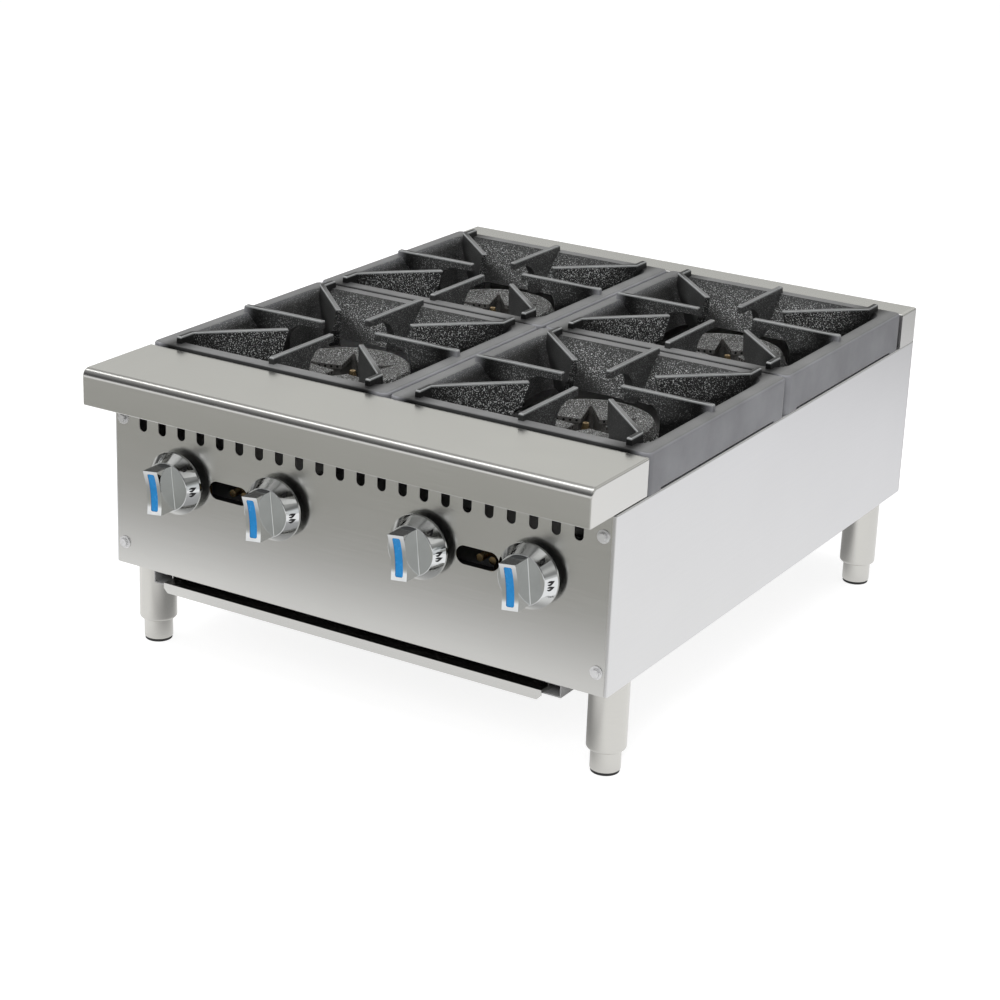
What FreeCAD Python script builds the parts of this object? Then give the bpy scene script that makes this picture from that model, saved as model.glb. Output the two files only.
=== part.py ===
"""Countertop gas hot plate with four burners, as a parametric document.

X runs to the right, Y to the rear and Z up, in millimetres. The counter is at Z = 0.
"""
import FreeCAD, Part
import math
import operator
import os
import types

import Sketcher
from FreeCAD import Placement, Rotation, Vector


# Driving sizes

SIZES = {
    # Body
    "stove_width": 610.0,
    "body_depth": 784.0,
    "leg_height": 101.6,
    "deck_height": 291.5,
    "rail_top": 333.0,
    "sheet": 1.2,
    "seat_gap": 0.3,
    # Front rail, back rail and front panel
    "rail_depth": 112.0,
    "rail_height": 40.0,
    "rail_nose": 9.0,
    "rail_return": 14.0,
    "rail_end_edge": 2.5,
    "back_rail_depth": 41.0,
    "back_rail_edge": 3.0,
    "panel_setback": 51.0,
    "panel_lip": 20.0,
    "panel_inset": 3.5,
    "vent_width": 10.2,
    "vent_height": 34.0,
    "vent_low": 257.6,
    "vent_inset": 39.35,
    "vent_count": 22.0,
    "window_width": 50.0,
    "window_height": 20.0,
    # Side panels, cross members and their screws
    "side_bend": 2.0,
    "base_flange": 45.0,
    "deck_flange": 22.0,
    "end_flange": 24.0,
    "cross_height": 35.0,
    "cross_width": 25.0,
    "shield_setback": 136.0,
    "rear_cross_setback": 134.0,
    "centre_rail_width": 44.0,
    "centre_rail_height": 30.0,
    "screw_inset": 12.5,
    "screw_low": 126.0,
    "screw_high": 268.0,
    "screw_radius": 2.5,
    "screw_length": 9.0,
    "screw_head_radius": 4.6,
    "screw_head_height": 3.2,
    "washer_radius": 7.0,
    "washer_thickness": 1.0,
    # Legs and feet
    "leg_inset": 20.7,
    "leg_front_setback": 96.5,
    "leg_rear_setback": 61.3,
    "leg_radius": 20.7,
    "leg_wall": 1.5,
    "leg_shoulder": 25.8,
    "leg_shoulder_rise": 7.0,
    "leg_boss_low": 60.0,
    "leg_boss_height": 12.0,
    "leg_stud_radius": 5.0,
    "leg_stud_length": 13.0,
    "gusset_width": 62.0,
    "gusset_thickness": 3.0,
    "weld_nut_radius": 9.0,
    "weld_nut_height": 8.0,
    "foot_radius": 15.9,
    "foot_edge": 1.5,
    "foot_neck_top": 56.0,
    "foot_stud_radius": 5.5,
    "foot_stud_top": 88.0,
    "pad_radius": 15.0,
    "pad_edge": 1.0,
    "pad_height": 3.0,
    "running_gap": 0.06,
    # Drip tray and its guides
    "tray_inset": 69.5,
    "tray_setback": 60.0,
    "tray_length": 685.0,
    "tray_height": 10.5,
    "tray_wall": 1.0,
    "tray_lip_setback": 45.0,
    "tray_lip_height": 11.0,
    "tray_lip_bevel": 5.0,
    "tray_front_height": 5.0,
    "guide_height": 14.1,
    "guide_width": 18.0,
    "guide_ledge": 32.0,
    "guide_clearance": 0.5,
    # Cast grates
    "grate_gap": 3.0,
    "grate_inset": 0.5,
    "grate_height": 44.5,
    "grate_corner": 8.0,
    "grate_edge": 3.5,
    "grate_wall": 5.0,
    "grate_rim": 16.0,
    "grate_rim_thickness": 6.0,
    "grate_foot": 27.0,
    "grate_relief": 2.5,
    "bowl_mouth": 95.0,
    "bowl_low": 2.5,
    "bowl_wall": 6.0,
    "bowl_top_corner": 24.0,
    "bowl_mouth_corner": 30.0,
    "finger_rise": 8.0,
    "finger_top_width": 5.4,
    "finger_root_width": 13.0,
    "finger_edge": 1.6,
    "finger_nose_edge": 3.0,
    "finger_nose_inset": 10.0,
    "finger_reach": 35.0,
    "finger_tip_depth": 9.0,
    "finger_root": 84.0,
    "finger_arch": 27.0,
    "corner_reach": 68.0,
    "corner_tip_depth": 28.0,
    "corner_tip_slant": 8.0,
    "corner_root": 86.0,
    "corner_arch": 8.5,
    "corner_bend": 122.3,
    "corner_bend_low": 30.0,
    # Burners
    "burner_seat_drop": 15.5,
    "trough_outer": 66.0,
    "trough_wall": 4.0,
    "trough_height": 36.0,
    "head_radius": 74.5,
    "head_rim_radius": 66.5,
    "head_height": 24.0,
    "head_rim": 4.0,
    "head_rim_edge": 1.5,
    "head_throat": 12.0,
    "head_dish_foot": 47.0,
    "head_dish_low": 20.0,
    "head_dish_round": 60.0,
    "head_arm_fall": 2.0,
    "head_arm_low": 13.5,
    "head_register": 5.0,
    "head_register_gap": 0.6,
    "star_tip": 17.0,
    "star_reach": 58.0,
    "star_round": 2.0,
    "star_setback": 2.5,
    "star_wall": 3.5,
    "mixer_radius": 13.0,
    "mixer_bore": 9.5,
    "branch_radius": 11.0,
    "branch_bore": 7.5,
    "riser_offset": 46.0,
    "riser_back": 14.0,
    "riser_radius": 15.0,
    "riser_bore": 10.5,
    "riser_sump": 2.0,
    "mixer_setback": 121.0,
    "support_setback": 44.0,
    "support_width": 25.0,
    "support_height": 10.0,
    "support_sheet": 2.0,
    "shutter_setback": 118.0,
    "shutter_length": 13.0,
    "shutter_hole": 8.2,
    # Gas train
    "knob_height": 212.5,
    "knob_offset": 64.0,
    "valve_setback": 72.0,
    "valve_length": 36.0,
    "valve_radius": 12.0,
    "valve_nipple": 7.0,
    "valve_bore_depth": 12.0,
    "hood_radius": 7.2,
    "hood_length": 14.0,
    "spud_radius": 5.0,
    "spud_length": 9.0,
    "manifold_radius": 13.35,
    "manifold_bore": 10.5,
    "manifold_setback": 95.0,
    "manifold_height": 172.0,
    "inlet_inset": 39.0,
    "manifold_plug": 6.0,
    "elbow_radius": 17.0,
    "elbow_bend": 26.0,
    "inlet_reach": 32.0,
    "inlet_thread_radius": 13.0,
    "inlet_thread_length": 30.0,
    "bracket_offset": 40.0,
    "bracket_thickness": 3.0,
    "bracket_drop": 22.0,
    "bracket_tab": 16.0,
    # Pilots
    "pilot_level": 206.0,
    "pilot_offset": 5.0,
    "pilot_body_radius": 7.0,
    "pilot_body_length": 30.0,
    "pilot_nipple": 5.5,
    "pilot_nut_radius": 4.6,
    "pilot_nut_length": 13.0,
    "pilot_screw_radius": 4.0,
    "pilot_screw_length": 27.0,
    "pilot_tube_radius": 3.175,
    "pilot_tube_bore": 2.4,
    "pilot_bend": 14.0,
    "pilot_tip_low": 279.0,
    "pilot_tip_height": 15.0,
    "pilot_tip_radius": 5.0,
    "pilot_strip_width": 24.0,
    "pilot_strip_thickness": 1.5,
    # Knobs
    "knob_gap": 8.0,
    "skirt_radius": 34.2,
    "skirt_face_radius": 26.5,
    "skirt_edge": 2.5,
    "skirt_rim_edge": 1.0,
    "skirt_face_edge": 1.0,
    "skirt_depth": 15.5,
    "grip_width": 18.6,
    "grip_reach": 23.6,
    "grip_depth": 24.0,
    "grip_root": 0.9,
    "grip_hollow": 90.0,
    "grip_hollow_depth": 3.5,
    "insert_width": 9.2,
    "insert_length": 40.5,
    "insert_corner": 2.0,
    "insert_seat": 2.2,
    "insert_sink": 0.5,
    "insert_gap": 0.1,
    "stem_radius": 4.0,
    "stem_flat": 2.6,
    "stem_depth": 25.0,
    "stem_hole": 6.5,
}

ROOT_TWO = math.sqrt(2)
OPERATIONS = {"+": operator.add, "-": operator.sub, "*": operator.mul, "/": operator.truediv}


class Size:
    """A number together with the sheet expression that gives it."""

    def __init__(self, number, text):
        self.number = number
        self.text = text

    def __add__(self, other):
        return joined(self, "+", other)

    def __radd__(self, other):
        return joined(other, "+", self)

    def __sub__(self, other):
        return joined(self, "-", other)

    def __rsub__(self, other):
        return joined(other, "-", self)

    def __mul__(self, other):
        return joined(self, "*", other)

    def __rmul__(self, other):
        return joined(other, "*", self)

    def __truediv__(self, other):
        return joined(self, "/", other)

    def __neg__(self):
        return joined(0, "-", self)


def as_size(value):
    """Give a plain number the same form as a size from the sheet."""
    if isinstance(value, Size):
        return value
    return Size(float(value), f"({float(value)!r})")


def joined(left, sign, right):
    """Combine two sizes into one that keeps both its number and its expression."""
    left = as_size(left)
    right = as_size(right)
    number = OPERATIONS[sign](left.number, right.number)
    return Size(number, f"({left.text} {sign} {right.text})")


# Document and sheet

doc = FreeCAD.newDocument("GasHotPlate")
sheet = doc.addObject("Spreadsheet::Sheet", "Sizes")
for row, (name, number) in enumerate(SIZES.items(), 1):
    sheet.set(f"A{row}", name)
    sheet.set(f"B{row}", str(number))
    sheet.setAlias(f"B{row}", name)
doc.recompute()

size = types.SimpleNamespace()
for name in SIZES:
    setattr(size, name, Size(float(sheet.get(name)), f"Sizes.{name}"))

NODES = []


# Helpers for bound objects

def bind(obj, **values):
    """Bind each named property of an object to a size."""
    for path, value in values.items():
        obj.setExpression(path, as_size(value).text)


def put(obj, x=0, y=0, z=0, turn=None):
    """Place an object, with its position bound to sizes and an optional fixed turn."""
    if turn is not None:
        obj.Placement = Placement(Vector(), turn)
    for axis, value in zip("xyz", (x, y, z)):
        obj.setExpression(f"Placement.Base.{axis}", as_size(value).text)
    return obj


def node(obj):
    """Keep an object as one of the part's named pieces."""
    NODES.append(obj)
    return obj


TURNS = {
    "x": Rotation(Vector(0, 1, 0), 90),
    "y": Rotation(Vector(1, 0, 0), -90),
    "z": Rotation(Vector(0, 0, 1), 45),
    "front": Rotation(Vector(1, 0, 0), 90),
}


def box(label, across, along, up):
    """A block between the low and high limits given for X, Y and Z."""
    block = doc.addObject("Part::Box", label)
    bind(block, Length=across[1] - across[0], Width=along[1] - along[0], Height=up[1] - up[0])
    return put(block, across[0], along[0], up[0])


def rod(label, start, axis, radius, length):
    """A round bar that starts at a point and runs along an axis."""
    bar = doc.addObject("Part::Cylinder", label)
    bind(bar, Radius=radius, Height=length)
    return put(bar, *start, turn=TURNS[axis])


def cone(label, start, axis, low_radius, high_radius, length):
    """A tapered round bar that starts at a point and runs along an axis."""
    taper = doc.addObject("Part::Cone", label)
    bind(taper, Radius1=low_radius, Radius2=high_radius, Height=length)
    return put(taper, *start, turn=TURNS[axis])


def quarter_bend(label, centre, turn, bend, radius):
    """A quarter turn of round bar about a point."""
    ring = doc.addObject("Part::Torus", label)
    bind(ring, Radius1=bend, Radius2=radius)
    ring.Angle3 = 90
    return put(ring, *centre, turn=turn)


def fused(label, pieces):
    """Several solids made one."""
    union = doc.addObject("Part::MultiFuse", label)
    union.Shapes = pieces
    union.Refine = True
    return union


def shared(label, pieces):
    """The volume that several solids have in common."""
    overlap = doc.addObject("Part::MultiCommon", label)
    overlap.Shapes = pieces
    return overlap


def group(label, pieces):
    """Several separate solids kept as one piece."""
    compound = doc.addObject("Part::Compound", label)
    compound.Links = pieces
    return compound


def cut(label, base, tools):
    """A solid with one or more others taken away."""
    result = doc.addObject("Part::Cut", label)
    result.Base = base
    result.Tool = tools[0] if len(tools) == 1 else group(f"{label} cuts", tools)
    return result


def placed(label, source, x=0, y=0, z=0, turn=None):
    """A copy of a finished solid at its own place."""
    return put(group(label, [source]), x, y, z, turn)


def edges_at(shape, **places):
    """Numbers of the edges whose ends all lie at the given x, y or z."""
    found = []
    for number, edge in enumerate(shape.Edges, 1):
        ends = [vertex.Point for vertex in edge.Vertexes]
        on_place = [
            abs(getattr(end, axis) - as_size(place).number) < 0.01
            for end in ends for axis, place in places.items()
        ]
        if all(on_place):
            found.append(number)
    return found


def rounded(label, base, radius, **places):
    """A solid with the edges at the given places rounded."""
    doc.recompute()
    fillet = doc.addObject("Part::Fillet", label)
    fillet.Base = base
    fillet.Edges = [(number, radius.number, radius.number) for number in edges_at(base.Shape, **places)]
    return fillet


# Helpers for sketched bodies

def new_body(label):
    """An empty body."""
    return doc.addObject("PartDesign::Body", label)


def origin_part(body, role):
    """One of the planes or axes of a body's own origin."""
    return [feature for feature in body.Origin.OriginFeatures if feature.Role == role][0]


def new_sketch(body, label, plane, lift=0):
    """A sketch on one of the body's origin planes, or at a height above it."""
    sketch = body.newObject("Sketcher::SketchObject", label)
    sketch.AttachmentSupport = (origin_part(body, plane), [""])
    sketch.MapMode = "FlatFace"
    sketch.setExpression("AttachmentOffset.Base.z", as_size(lift).text)
    return sketch


def constrain(sketch, value, *terms):
    """Add a dimension to a sketch and bind it to a size."""
    size_of_it = as_size(value)
    number = sketch.addConstraint(Sketcher.Constraint(*terms, size_of_it.number))
    sketch.setExpression(f"Constraints[{number}]", size_of_it.text)


def pin(sketch, geometry, end, across, up):
    """Hold a point of a sketch at a place measured from the origin."""
    constrain(sketch, across, "DistanceX", -1, 1, geometry, end)
    constrain(sketch, up, "DistanceY", -1, 1, geometry, end)


def corner_arc(before, corner, after, radius):
    """The arc that rounds a corner, its two touching points, and whether it turns left."""
    back = (before - corner).normalize()
    ahead = (after - corner).normalize()
    half_angle = back.getAngle(ahead) / 2
    touch = radius / math.tan(half_angle)
    middle = (back + ahead).normalize()
    centre = corner + middle * (radius / math.sin(half_angle))
    start = corner + back * touch
    finish = corner + ahead * touch
    turns_left = (-back).cross(ahead).z > 0
    first, last = (start, finish) if turns_left else (finish, start)
    first_angle = math.atan2(first.y - centre.y, first.x - centre.x)
    last_angle = math.atan2(last.y - centre.y, last.x - centre.x)
    arc = Part.ArcOfCircle(Part.Circle(centre, Vector(0, 0, 1), radius), first_angle, last_angle)
    return arc, start, finish, turns_left


def outline(sketch, points):
    """Draw a closed outline through (across, up) corners, each with an optional rounding radius."""
    corners = [Vector(as_size(point[0]).number, as_size(point[1]).number, 0) for point in points]
    radii = [point[2] if len(point) > 2 else None for point in points]
    count = len(points)
    arcs = {}
    for i, radius in enumerate(radii):
        if radius is not None:
            neighbours = (corners[i - 1], corners[i], corners[(i + 1) % count])
            arcs[i] = corner_arc(*neighbours, as_size(radius).number)
    for i in range(count):
        after = (i + 1) % count
        start = arcs[i][2] if i in arcs else corners[i]
        finish = arcs[after][1] if after in arcs else corners[after]
        sketch.addGeometry(Part.LineSegment(start, finish), False)
    for i, point in enumerate(points):
        before = (i - 1) % count
        if i not in arcs:
            sketch.addConstraint(Sketcher.Constraint("Coincident", before, 2, i, 1))
            pin(sketch, i, 1, point[0], point[1])
            continue
        arc, _, _, turns_left = arcs[i]
        arc_number = sketch.addGeometry(arc, False)
        mark = sketch.addGeometry(Part.Point(corners[i]), True)
        begin, end = (1, 2) if turns_left else (2, 1)
        sketch.addConstraint(Sketcher.Constraint("Tangent", before, 2, arc_number, begin))
        sketch.addConstraint(Sketcher.Constraint("Tangent", arc_number, end, i, 1))
        sketch.addConstraint(Sketcher.Constraint("PointOnObject", mark, 1, before))
        sketch.addConstraint(Sketcher.Constraint("PointOnObject", mark, 1, i))
        pin(sketch, mark, 1, point[0], point[1])
        constrain(sketch, radii[i], "Radius", arc_number)
    return sketch


def rectangle(sketch, half_across, half_up, radius=None):
    """Draw a rectangle about the sketch's origin, with rounded corners where a radius is given."""
    rounding = [] if radius is None else [radius]
    corners = ((-1, -1), (1, -1), (1, 1), (-1, 1))
    return outline(sketch, [[half_across * i, half_up * j, *rounding] for i, j in corners])


def circle(sketch, across, up, radius):
    """Draw a circle."""
    centre = Vector(as_size(across).number, as_size(up).number, 0)
    ring = Part.Circle(centre, Vector(0, 0, 1), as_size(radius).number)
    number = sketch.addGeometry(ring, False)
    pin(sketch, number, 3, across, up)
    constrain(sketch, radius, "Radius", number)


def capsule(sketch, first, last, radius):
    """Draw a slot with round ends between two points on a level or upright line."""
    ends = [Vector(as_size(point[0]).number, as_size(point[1]).number, 0) for point in (first, last)]
    way = (ends[1] - ends[0]).normalize()
    side = Vector(-way.y, way.x, 0) * as_size(radius).number
    heading = math.atan2(way.y, way.x)
    quarter = math.pi / 2
    rings = [Part.Circle(end, Vector(0, 0, 1), side.Length) for end in ends]
    shape = [
        Part.LineSegment(ends[0] - side, ends[1] - side),
        Part.ArcOfCircle(rings[1], heading - quarter, heading + quarter),
        Part.LineSegment(ends[1] + side, ends[0] + side),
        Part.ArcOfCircle(rings[0], heading + quarter, heading - quarter),
    ]
    numbers = [sketch.addGeometry(piece, False) for piece in shape]
    for i, number in enumerate(numbers):
        after = numbers[(i + 1) % 4]
        sketch.addConstraint(Sketcher.Constraint("Tangent", number, 2, after, 1))
    for number, point in ((numbers[1], last), (numbers[3], first)):
        pin(sketch, number, 3, point[0], point[1])
        constrain(sketch, radius, "Radius", number)


def feature(body, kind, label, sketch, **values):
    """Add a sketch-based feature to a body and bind its sizes."""
    result = body.newObject(f"PartDesign::{kind}", label)
    result.Profile = sketch
    bind(result, **values)
    return result


def turned(label, points):
    """A body turned about Z from a (radius, height) outline."""
    body = new_body(label)
    profile = outline(new_sketch(body, f"{label} profile", "XZ_Plane"), points)
    revolution = feature(body, "Revolution", f"{label} turning", profile)
    revolution.ReferenceAxis = (profile, ["V_Axis"])
    revolution.Angle = 360
    return body


def slab(label, points, thickness, plane="XZ_Plane"):
    """A body padded evenly to both sides of an outline."""
    body = new_body(label)
    profile = outline(new_sketch(body, f"{label} profile", plane), points)
    pad = feature(body, "Pad", f"{label} pad", profile, Length=thickness)
    pad.SideType = "Symmetric"
    return body


def pattern(body, kind, label, original, count):
    """Repeat a feature of a body a bound number of times."""
    repeat = body.newObject(f"PartDesign::{kind}", label)
    repeat.Originals = [original]
    bind(repeat, Occurrences=count)
    body.Tip = repeat
    return repeat


# Places that several pieces share

half_width = size.stove_width / 2
side_inside = half_width - size.sheet
front = -(size.body_depth + size.inlet_reach) / 2
rear = front + size.body_depth
rear_inside = rear - size.sheet
panel_front = front + size.panel_setback
panel_back = panel_front + size.sheet
base = size.leg_height
base_top = base + size.sheet
deck = size.deck_height
deck_under = deck - size.sheet
rail_low = size.rail_top - size.rail_height

grate_width = half_width - size.grate_gap / 2 - size.grate_inset
grate_depth = (size.body_depth - size.rail_depth - size.back_rail_depth - 3 * size.grate_gap) / 2
burner_x = size.grate_gap / 2 + grate_width / 2
burner_front_y = front + size.rail_depth + size.grate_gap + grate_depth / 2
burner_rear_y = burner_front_y + grate_depth + size.grate_gap
burner_seat = deck - size.burner_seat_drop
trough_low = burner_seat - size.trough_height
tray_half = half_width - size.tray_inset

manifold_y = front + size.manifold_setback
shield_y = front + size.shield_setback
valve_y = front + size.valve_setback
pipe_x = half_width - size.inlet_inset
manifold_reach = pipe_x - size.elbow_bend
pipe_y = manifold_y + size.elbow_bend

SIDES = (("left", -1), ("right", 1))
ROWS = (("front", burner_front_y, -1), ("rear", burner_rear_y, 1))


def burners():
    """Each burner's name with its place, its knob's place across and the side its mixer lies on."""
    for row_name, y, outwards in ROWS:
        for side_name, side in SIDES:
            x = burner_x * side
            mixer_side = side * outwards
            yield f"{row_name}_{side_name}", x, y, x + size.knob_offset * mixer_side, mixer_side


LEGS = [
    (f"{row_name}_{side_name}", (half_width - size.leg_inset) * side, y)
    for row_name, y in (("front", front + size.leg_front_setback), ("rear", rear - size.leg_rear_setback))
    for side_name, side in SIDES
]

SCREWS = [
    ((half_width - size.screw_inset) * side, z)
    for _, side in SIDES for z in (size.screw_low, size.screw_high)
]


# Sheet metal body

def side_limits(side, low, high):
    """Limits across for a piece on the left or the right, given from the middle outwards."""
    return (low, high) if side > 0 else (-high, -low)


def side_panel(name, side):
    """A side wall with inward flanges at its foot, its deck edge and both ends."""
    label = f"side_panel_{name}"
    length = (panel_back, rear_inside)
    height = (base, deck)

    def flange(kind, width, along, up):
        """A strip that turns inwards from the wall."""
        return box(f"{label} {kind}", side_limits(side, half_width - width, half_width), along, up)

    walls = fused(f"{label} folded", [
        flange("wall", size.sheet, length, height),
        flange("foot", size.base_flange, length, (base, base_top)),
        flange("deck", size.deck_flange, length, (deck_under, deck)),
        flange("front", size.end_flange, (panel_back, panel_back + size.sheet), height),
        flange("rear", size.end_flange, (rear_inside - size.sheet, rear_inside), height),
    ])
    outside = half_width * side
    front_bend = rounded(f"{label} front bend", walls, size.side_bend, x=outside, y=panel_back)
    bent = rounded(f"{label} deck bend", front_bend, size.side_bend, x=outside, z=deck)
    holes = []
    for x, z in SCREWS:
        if x.number * side > 0:
            holes.append(rod(f"{label} screw hole", (x, panel_front, z), "y",
                             size.screw_radius + size.running_gap, size.body_depth))
    for _, x, y in LEGS:
        if x.number * side > 0:
            holes.append(rod(f"{label} stud hole", (x, y, base - 1), "z",
                             size.leg_stud_radius + size.seat_gap, size.sheet + 2))
    return node(cut(label, bent, holes))


def front_panel():
    """The control panel: a pierced sheet with lips at its head and foot."""
    body = new_body("front_panel sheet")
    head = size.rail_top - size.sheet
    notch = half_width - size.panel_inset * 2
    notch_low = rail_low - size.seat_gap
    edge = half_width - size.panel_inset
    face = outline(new_sketch(body, "panel outline", "XZ_Plane"), [
        (-edge, base), (edge, base), (edge, notch_low), (notch, notch_low),
        (notch, head), (-notch, head), (-notch, notch_low), (-edge, notch_low),
    ])
    feature(body, "Pad", "panel pad", face, Length=size.sheet).Reversed = True

    holes = new_sketch(body, "panel holes", "XZ_Plane")
    for _, _, _, knob_x, _ in burners():
        circle(holes, knob_x, size.knob_height, size.stem_hole)
    for x, z in SCREWS:
        circle(holes, x, z, size.screw_radius + size.running_gap)
    half_window = (size.window_width - size.window_height) / 2
    for _, side in SIDES:
        capsule(holes, (burner_x * side - half_window, size.knob_height),
                (burner_x * side + half_window, size.knob_height), size.window_height / 2)
    pierced = feature(body, "Pocket", "panel piercing", holes, Length=size.sheet * 4)
    pierced.SideType = "Symmetric"

    vent = new_sketch(body, "vent outline", "XZ_Plane")
    first_vent = size.vent_inset - half_width
    vent_radius = size.vent_width / 2
    capsule(vent, (first_vent, size.vent_low + vent_radius),
            (first_vent, size.vent_low + size.vent_height - vent_radius), vent_radius)
    vent_cut = feature(body, "Pocket", "vent slot", vent, Length=size.sheet * 4)
    vent_cut.SideType = "Symmetric"
    vents = pattern(body, "LinearPattern", "vent row", vent_cut, size.vent_count)
    vents.Direction = (vent, ["H_Axis"])
    bind(vents, Length=size.stove_width - size.vent_inset * 2)

    lip_back = panel_front + size.panel_lip
    foot_reach = half_width - size.base_flange - size.seat_gap
    return node(fused("front_panel", [
        put(body, 0, panel_front, 0),
        box("panel head lip", (-notch, notch), (panel_front, lip_back), (head - size.sheet, head)),
        box("panel foot lip", (-foot_reach, foot_reach), (panel_front, lip_back), (base, base_top)),
    ]))


def front_rail():
    """The deep landing rail above the knobs, folded, open below and rounded along its front."""
    block = box("rail block", (-half_width, half_width), (front, front + size.rail_depth),
                (rail_low, size.rail_top))
    skin = rounded("rail skin", block, size.rail_nose, y=front, z=size.rail_top)
    for name, side in SIDES:
        skin = rounded(f"rail {name} end", skin, size.rail_end_edge, x=half_width * side, y=front)
    skin = rounded("rail hem", skin, size.sheet, y=front, z=rail_low)
    cavity_front = front + size.sheet
    cavity_top = size.rail_top - size.sheet
    cavity = rounded("rail cavity", box("rail hollow", (-side_inside, side_inside),
                                        (cavity_front, front + size.rail_depth - size.sheet),
                                        (rail_low - 1, cavity_top)),
                     size.rail_nose - size.sheet, y=cavity_front, z=cavity_top)
    fold = box("rail return", (-side_inside, side_inside), (cavity_front, cavity_front + size.rail_return),
               (rail_low, rail_low + size.sheet))
    return node(fused("front_rail", [cut("rail shell", skin, [cavity]), fold]))


def back_rail():
    """The narrow rail behind the grates, folded and open below."""
    along = (rear - size.back_rail_depth, rear)
    block = box("back rail block", (-half_width, half_width), along, (deck, size.rail_top))
    skin = rounded("back rail skin", block, size.back_rail_edge, z=size.rail_top)
    cavity = box("back rail hollow", (-side_inside, side_inside),
                 (along[0] + size.sheet, along[1] - size.sheet),
                 (deck - 1, size.rail_top - size.back_rail_edge))
    return node(cut("back_rail", skin, [cavity]))


def rear_panel():
    """The plain back sheet, with a lip at its foot and a hole for the gas inlet."""
    foot_reach = half_width - size.base_flange - size.seat_gap
    sheets = fused("rear sheet", [
        box("rear wall", (-half_width, half_width), (rear_inside, rear), (base, deck)),
        box("rear foot lip", (-foot_reach, foot_reach), (rear - size.panel_lip, rear), (base, base_top)),
    ])
    holes = [rod("inlet hole", (pipe_x, rear_inside - 1, size.manifold_height), "y",
                 size.manifold_radius + size.seat_gap, size.sheet + 2)]
    for x, z in SCREWS:
        holes.append(rod("rear screw hole", (x, rear_inside - 1, z), "y",
                         size.screw_radius + size.running_gap, size.sheet + 2))
    return node(cut("rear_panel", sheets, holes))


def base_crossmembers():
    """Two folded channels across the bottom of the body."""
    channels = []
    for name, start in (("front", shield_y + size.sheet), ("rear", rear - size.rear_cross_setback)):
        across = (-side_inside, side_inside)
        top = base_top + size.cross_height
        along = (start, start + size.cross_width)
        channels.append(fused(f"{name} channel", [
            box(f"{name} channel web", across, (start, start + size.sheet), (base_top, top)),
            box(f"{name} channel foot", across, along, (base_top, base_top + size.sheet)),
            box(f"{name} channel head", across, along, (top - size.sheet, top)),
        ]))
    return node(group("base_crossmembers", channels))


def leg_gussets():
    """Corner plates with welded nuts that take the leg studs."""
    half = size.gusset_width / 2
    plate = box("gusset plate", (-half, size.leg_inset - size.sheet), (-half, half),
                (0, size.gusset_thickness))
    nut = doc.addObject("Part::Prism", "gusset nut")
    bind(nut, Circumradius=size.weld_nut_radius, Height=size.weld_nut_height)
    put(nut, 0, 0, size.gusset_thickness)
    bore = rod("gusset bore", (0, 0, -1), "z", size.leg_stud_radius + size.running_gap,
               size.weld_nut_height * 2)
    gusset = cut("gusset", fused("gusset blank", [plate, nut]), [bore])
    half_turn = Rotation(Vector(0, 0, 1), 180)
    return node(group("leg_gussets", [
        placed(f"gusset {name}", gusset, x, y, base_top, None if x.number > 0 else half_turn)
        for name, x, y in LEGS
    ]))


def heat_shield():
    """The upright sheet between the valves and the burners, pierced for the pipes."""
    wall = box("shield wall", (-side_inside, side_inside), (shield_y, shield_y + size.sheet),
               (base_top, deck_under))
    start = shield_y - 1
    depth = size.sheet + 2
    half_rail = size.centre_rail_width / 2 + size.seat_gap
    cuts = [
        box("shield notch", (-half_rail, half_rail), (start, start + depth),
            (deck - size.centre_rail_height, deck)),
        rod("shield inlet hole", (pipe_x, start, size.manifold_height), "y",
            size.manifold_radius + size.seat_gap, depth),
    ]
    for name, x, _, knob_x, mixer_side in burners():
        cuts.append(rod(f"shield mixer hole {name}", (knob_x, start, size.knob_height), "y",
                        size.mixer_radius + size.seat_gap, depth))
        pilot_x = x + size.pilot_offset * mixer_side
        cuts.append(rod(f"shield pilot hole {name}", (pilot_x, start, size.pilot_level), "y",
                        size.pilot_tube_radius + size.seat_gap, depth))
    return node(cut("heat_shield", wall, cuts))


def grate_centre_rail():
    """The folded rail along the middle that carries the inner edges of the grates."""
    half = size.centre_rail_width / 2
    low = deck - size.centre_rail_height
    along = (panel_back, rear_inside)
    return node(cut("grate_centre_rail", box("centre rail block", (-half, half), along, (low, deck)), [
        box("centre rail hollow", (-half + size.sheet, half - size.sheet),
            (along[0] - 1, along[1] + 1), (low - 1, deck_under)),
    ]))


def burner_supports():
    """Two folded bars across the body that carry the burners."""
    half = size.support_width / 2
    low = trough_low - size.support_height
    bars = []
    for name, y, _ in ROWS:
        middle = y + size.support_setback
        block = box(f"{name} support block", (-side_inside, side_inside), (middle - half, middle + half),
                    (low, trough_low))
        inside = half - size.support_sheet
        hollow = box(f"{name} support hollow", (-half_width, half_width), (middle - inside, middle + inside),
                     (low - 1, trough_low - size.support_sheet))
        bars.append(cut(f"{name} support", block, [hollow]))
    return node(group("burner_supports", bars))


def panel_screws():
    """Hexagon washer-head screws that hold the front and rear panels."""
    head = doc.addObject("Part::Prism", "screw head")
    bind(head, Circumradius=size.screw_head_radius, Height=size.screw_head_height)
    put(head, 0, 0, size.washer_thickness)
    screw = fused("screw", [
        rod("screw shank", (0, 0, -size.screw_length), "z", size.screw_radius, size.screw_length),
        rod("screw washer", (0, 0, 0), "z", size.washer_radius, size.washer_thickness),
        head,
    ])
    screws = []
    for x, z in SCREWS:
        screws.append(placed("front screw", screw, x, panel_front, z, TURNS["front"]))
        screws.append(placed("rear screw", screw, x, rear, z, TURNS["y"]))
    return node(group("panel_screws", screws))


# Legs and feet

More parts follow.
